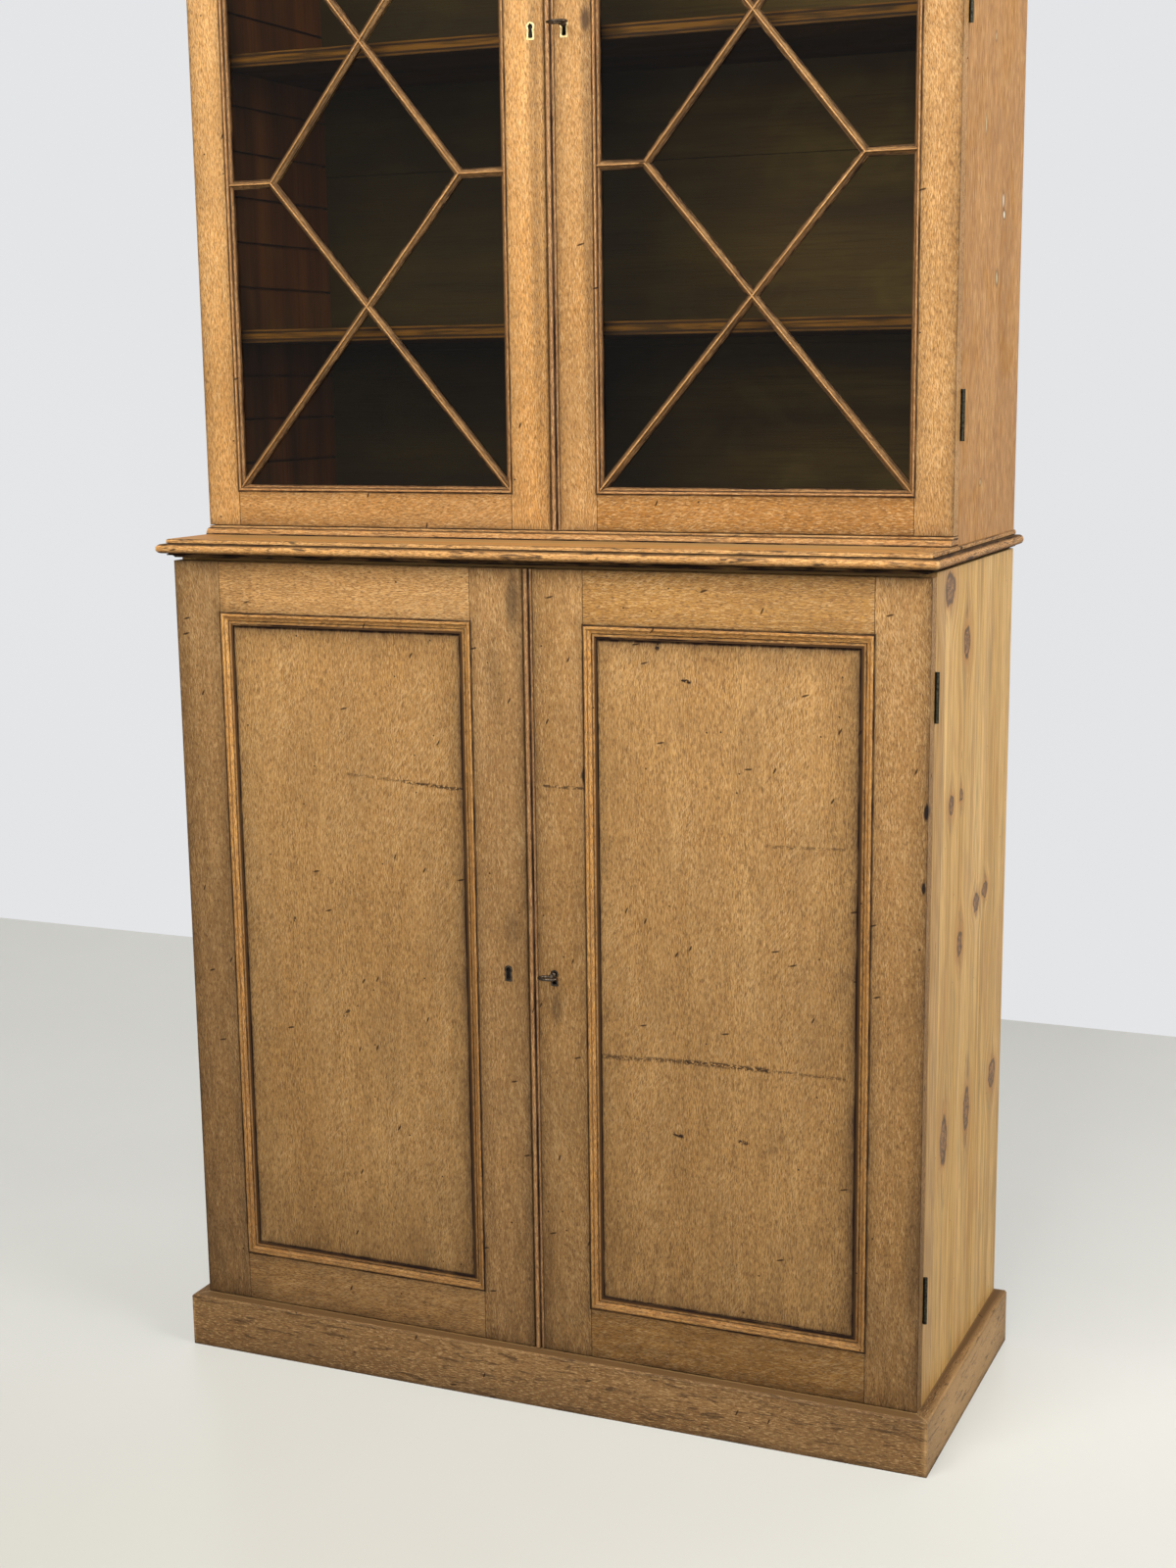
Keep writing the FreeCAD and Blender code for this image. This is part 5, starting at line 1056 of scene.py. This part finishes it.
# %% Set the screws
carcass = []
for stage, (leaf_y, hinges, bolt_x, bolt_y, bolt_heights) in STAGES.items():
    for hand, side in (("left", -1), ("right", 1)):
        carcass += leaf_places(hinges, side, leaf_y + LEAF_GAP)
        if hand == "right":
            low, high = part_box("%s_right_lock_case" % stage)
            plate = [(x, high.y, z) for x in (low.x + CORNER_INSET, high.x - CORNER_INSET)
                     for z in (low.z + CORNER_INSET, high.z - CORNER_INSET)]
        else:
            plate = [(bolt_x + dx, bolt_y, z + dz) for z in bolt_heights
                     for dx in (-PLATE_ASIDE, PLATE_ASIDE) for dz in (-PLATE_ALONG, PLATE_ALONG)]
        set_screws("%s_%s_door" % (stage, hand),
                   [screw_mesh(leaf_places(hinges, side, leaf_y - LEAF_GAP), 1, HINGE_SCREW),
                    screw_mesh(plate, 1, PLATE_SCREW)])
set_screws("carcass", [screw_mesh(carcass, -1, HINGE_SCREW)])

# %% [markdown]
# A pale room
# A pale floor runs to a pale wall, so the wood is the only strong colour. The floor has a faint gloss, as
# a painted floor has, and keeps the cabinet's soft shadow. It throws less light back than it shows to the
# camera, so that the doors grow darker towards their feet, as they do under a ceiling lamp. The wall is
# clear from its far side, so the cabinet's back can be looked at too.

# %% Make the floor and the wall
ROOM_REACH, WALL_PLACE, WALL_HEIGHT = 8, 1.89, 6
FLOOR_GLOW = 0.45
FLOOR_WEAR = [(-2500, 0.6), (-900, 0.5), (-300, 0.2), (200, 0)]


def straight(counted):
    """1 for a ray that the camera sent, also after glass that only let it through, 0 for one that
    bounced. Counted is the depth that a straight ray has there: 0 at a surface, 1 at the sky."""
    path = add("LightPath").outputs
    bounces = calc("SUBTRACT", path["Ray Depth"], path["Transmission Depth"])
    unbent = calc("MULTIPLY", calc("LESS_THAN", bounces, counted + 0.5), path["Is Transmission Ray"])
    return calc("MAXIMUM", path["Is Camera Ray"], unbent)


def paint(base, rough, tone, share):
    """Paint of this base that glows in its own tone, by this share."""
    matt = add("BsdfPrincipled", {"Roughness": rough}, {"Base Color": base})
    glow = add("Emission", {"Strength": 1}, {"Color": tone})
    return add("MixShader", {}, {0: share, 1: matt, 2: glow})


def flat_sheet(name, corners, material):
    """One flat face with these corners, as part of the room."""
    mesh = bpy.data.meshes.new(name)
    mesh.from_pydata(corners, [], [(0, 1, 2, 3)])
    mesh.materials.append(material)
    made = bpy.data.objects.new(name, mesh)
    bpy.context.scene.collection.objects.link(made)


floor_paint = finish("floor_painted_pale")
tone = blend("#E2E1DA", ("#DAD9D2", clouds(1.5, 4), 1),
             ("#BDB9AB", shades(parts_of()["Y"], FLOOR_WEAR), 1))
seen = calc("MAXIMUM", straight(0), add("LightPath").outputs["Is Glossy Ray"])
floor = paint(blend("#8F8E8A", (tone, seen, 1)), 0.3, tone, calc("MULTIPLY", seen, FLOOR_GLOW))
add("OutputMaterial", {}, {"Surface": floor})

wall_paint = finish("wall_painted_white")
tone = blend("#E6E7E9", ("#E2E3E5", clouds(0.8, 3), 1))
path = add("LightPath").outputs
seen = calc("MAXIMUM", path["Is Camera Ray"], path["Is Glossy Ray"], path["Is Transmission Ray"])
behind = add("NewGeometry").outputs["Backfacing"]
sheet = add("MixShader", {}, {0: behind, 1: paint(tone, 0.8, tone, seen), 2: add("BsdfTransparent")})
add("OutputMaterial", {}, {"Surface": sheet})
near, far = -ROOM_REACH, ROOM_REACH
flat_sheet("floor", [(near, near, 0), (far, near, 0), (far, far, 0), (near, far, 0)], floor_paint)
flat_sheet("wall", [(near, WALL_PLACE, 0), (far, WALL_PLACE, 0), (far, WALL_PLACE, WALL_HEIGHT),
                    (near, WALL_PLACE, WALL_HEIGHT)], wall_paint)
print("wall stands", WALL_PLACE, "m behind")

# %% [markdown]
# Soft light from above
# One large lamp hangs in front and above, a second, low and weak, reaches in under the shelves, a third
# lights the side, and a fourth lights the back boards from behind the wall. A pale sky lifts every shadow,
# and the camera sees it as a white room. The panes mirror little of it, because the room behind a camera
# is dim, and no lamp is seen in a pane or through it, as a photographer would take care of with a
# polariser. The strengths are set so that a colour comes out about as it is written.

# %% Hang the lamps
SKY_LIGHT, SKY_MIRRORED = 0.085, 0.04
panes = bpy.data.collections.new("panes")
for hand in ("left", "right"):
    panes.objects.link(solids["upper_%s_glass" % hand])
for pane in panes.collection_objects:
    pane.light_linking.link_state = "EXCLUDE"


def lamp(name, place, target, size, power):
    """A square soft lamp at place, turned to face target, that no pane shows."""
    data = bpy.data.lights.new(name, "AREA")
    data.shape = "SQUARE"
    data.size = size
    data.energy = power
    made = bpy.data.objects.new(name, data)
    made.location = place
    made.rotation_euler = (Vector(target) - Vector(place)).to_track_quat("-Z", "Y").to_euler()
    made.visible_transmission = False
    made.light_linking.receiver_collection = panes
    bpy.context.scene.collection.objects.link(made)


lamp("main_lamp", (-0.2, -2.3, 3.3), (0, -0.1, 1.5), 2.0, 120)
lamp("shelf_lamp", (0.9, -3.2, 1.9), (0, 0, 1.6), 1.4, 55)
lamp("side_lamp", (3.2, -0.8, 2.9), (0.5, 0, 1.1), 1.7, 104)
lamp("back_lamp", (-0.9, 3.4, 2.2), (0, 0.2, 1.1), 1.6, 85)
sky = bpy.data.worlds.new("pale_room")
bpy.context.scene.world = sky
sky.use_nodes = True
tree = sky.node_tree
mirrored = add("LightPath").outputs["Is Glossy Ray"]
seen = calc("MAXIMUM", straight(1), calc("MULTIPLY", mirrored, SKY_MIRRORED))
strength = add("MapRange", {"To Min": SKY_LIGHT, "To Max": 1}, {"Value": seen})
sky_light = tree.nodes["Background"]
sky_light.inputs["Color"].default_value = colour("#E9EAEC")
tree.links.new(strength.outputs[0], sky_light.inputs["Strength"])
bpy.context.scene.view_settings.view_transform = "Standard"
print("lamps hung")
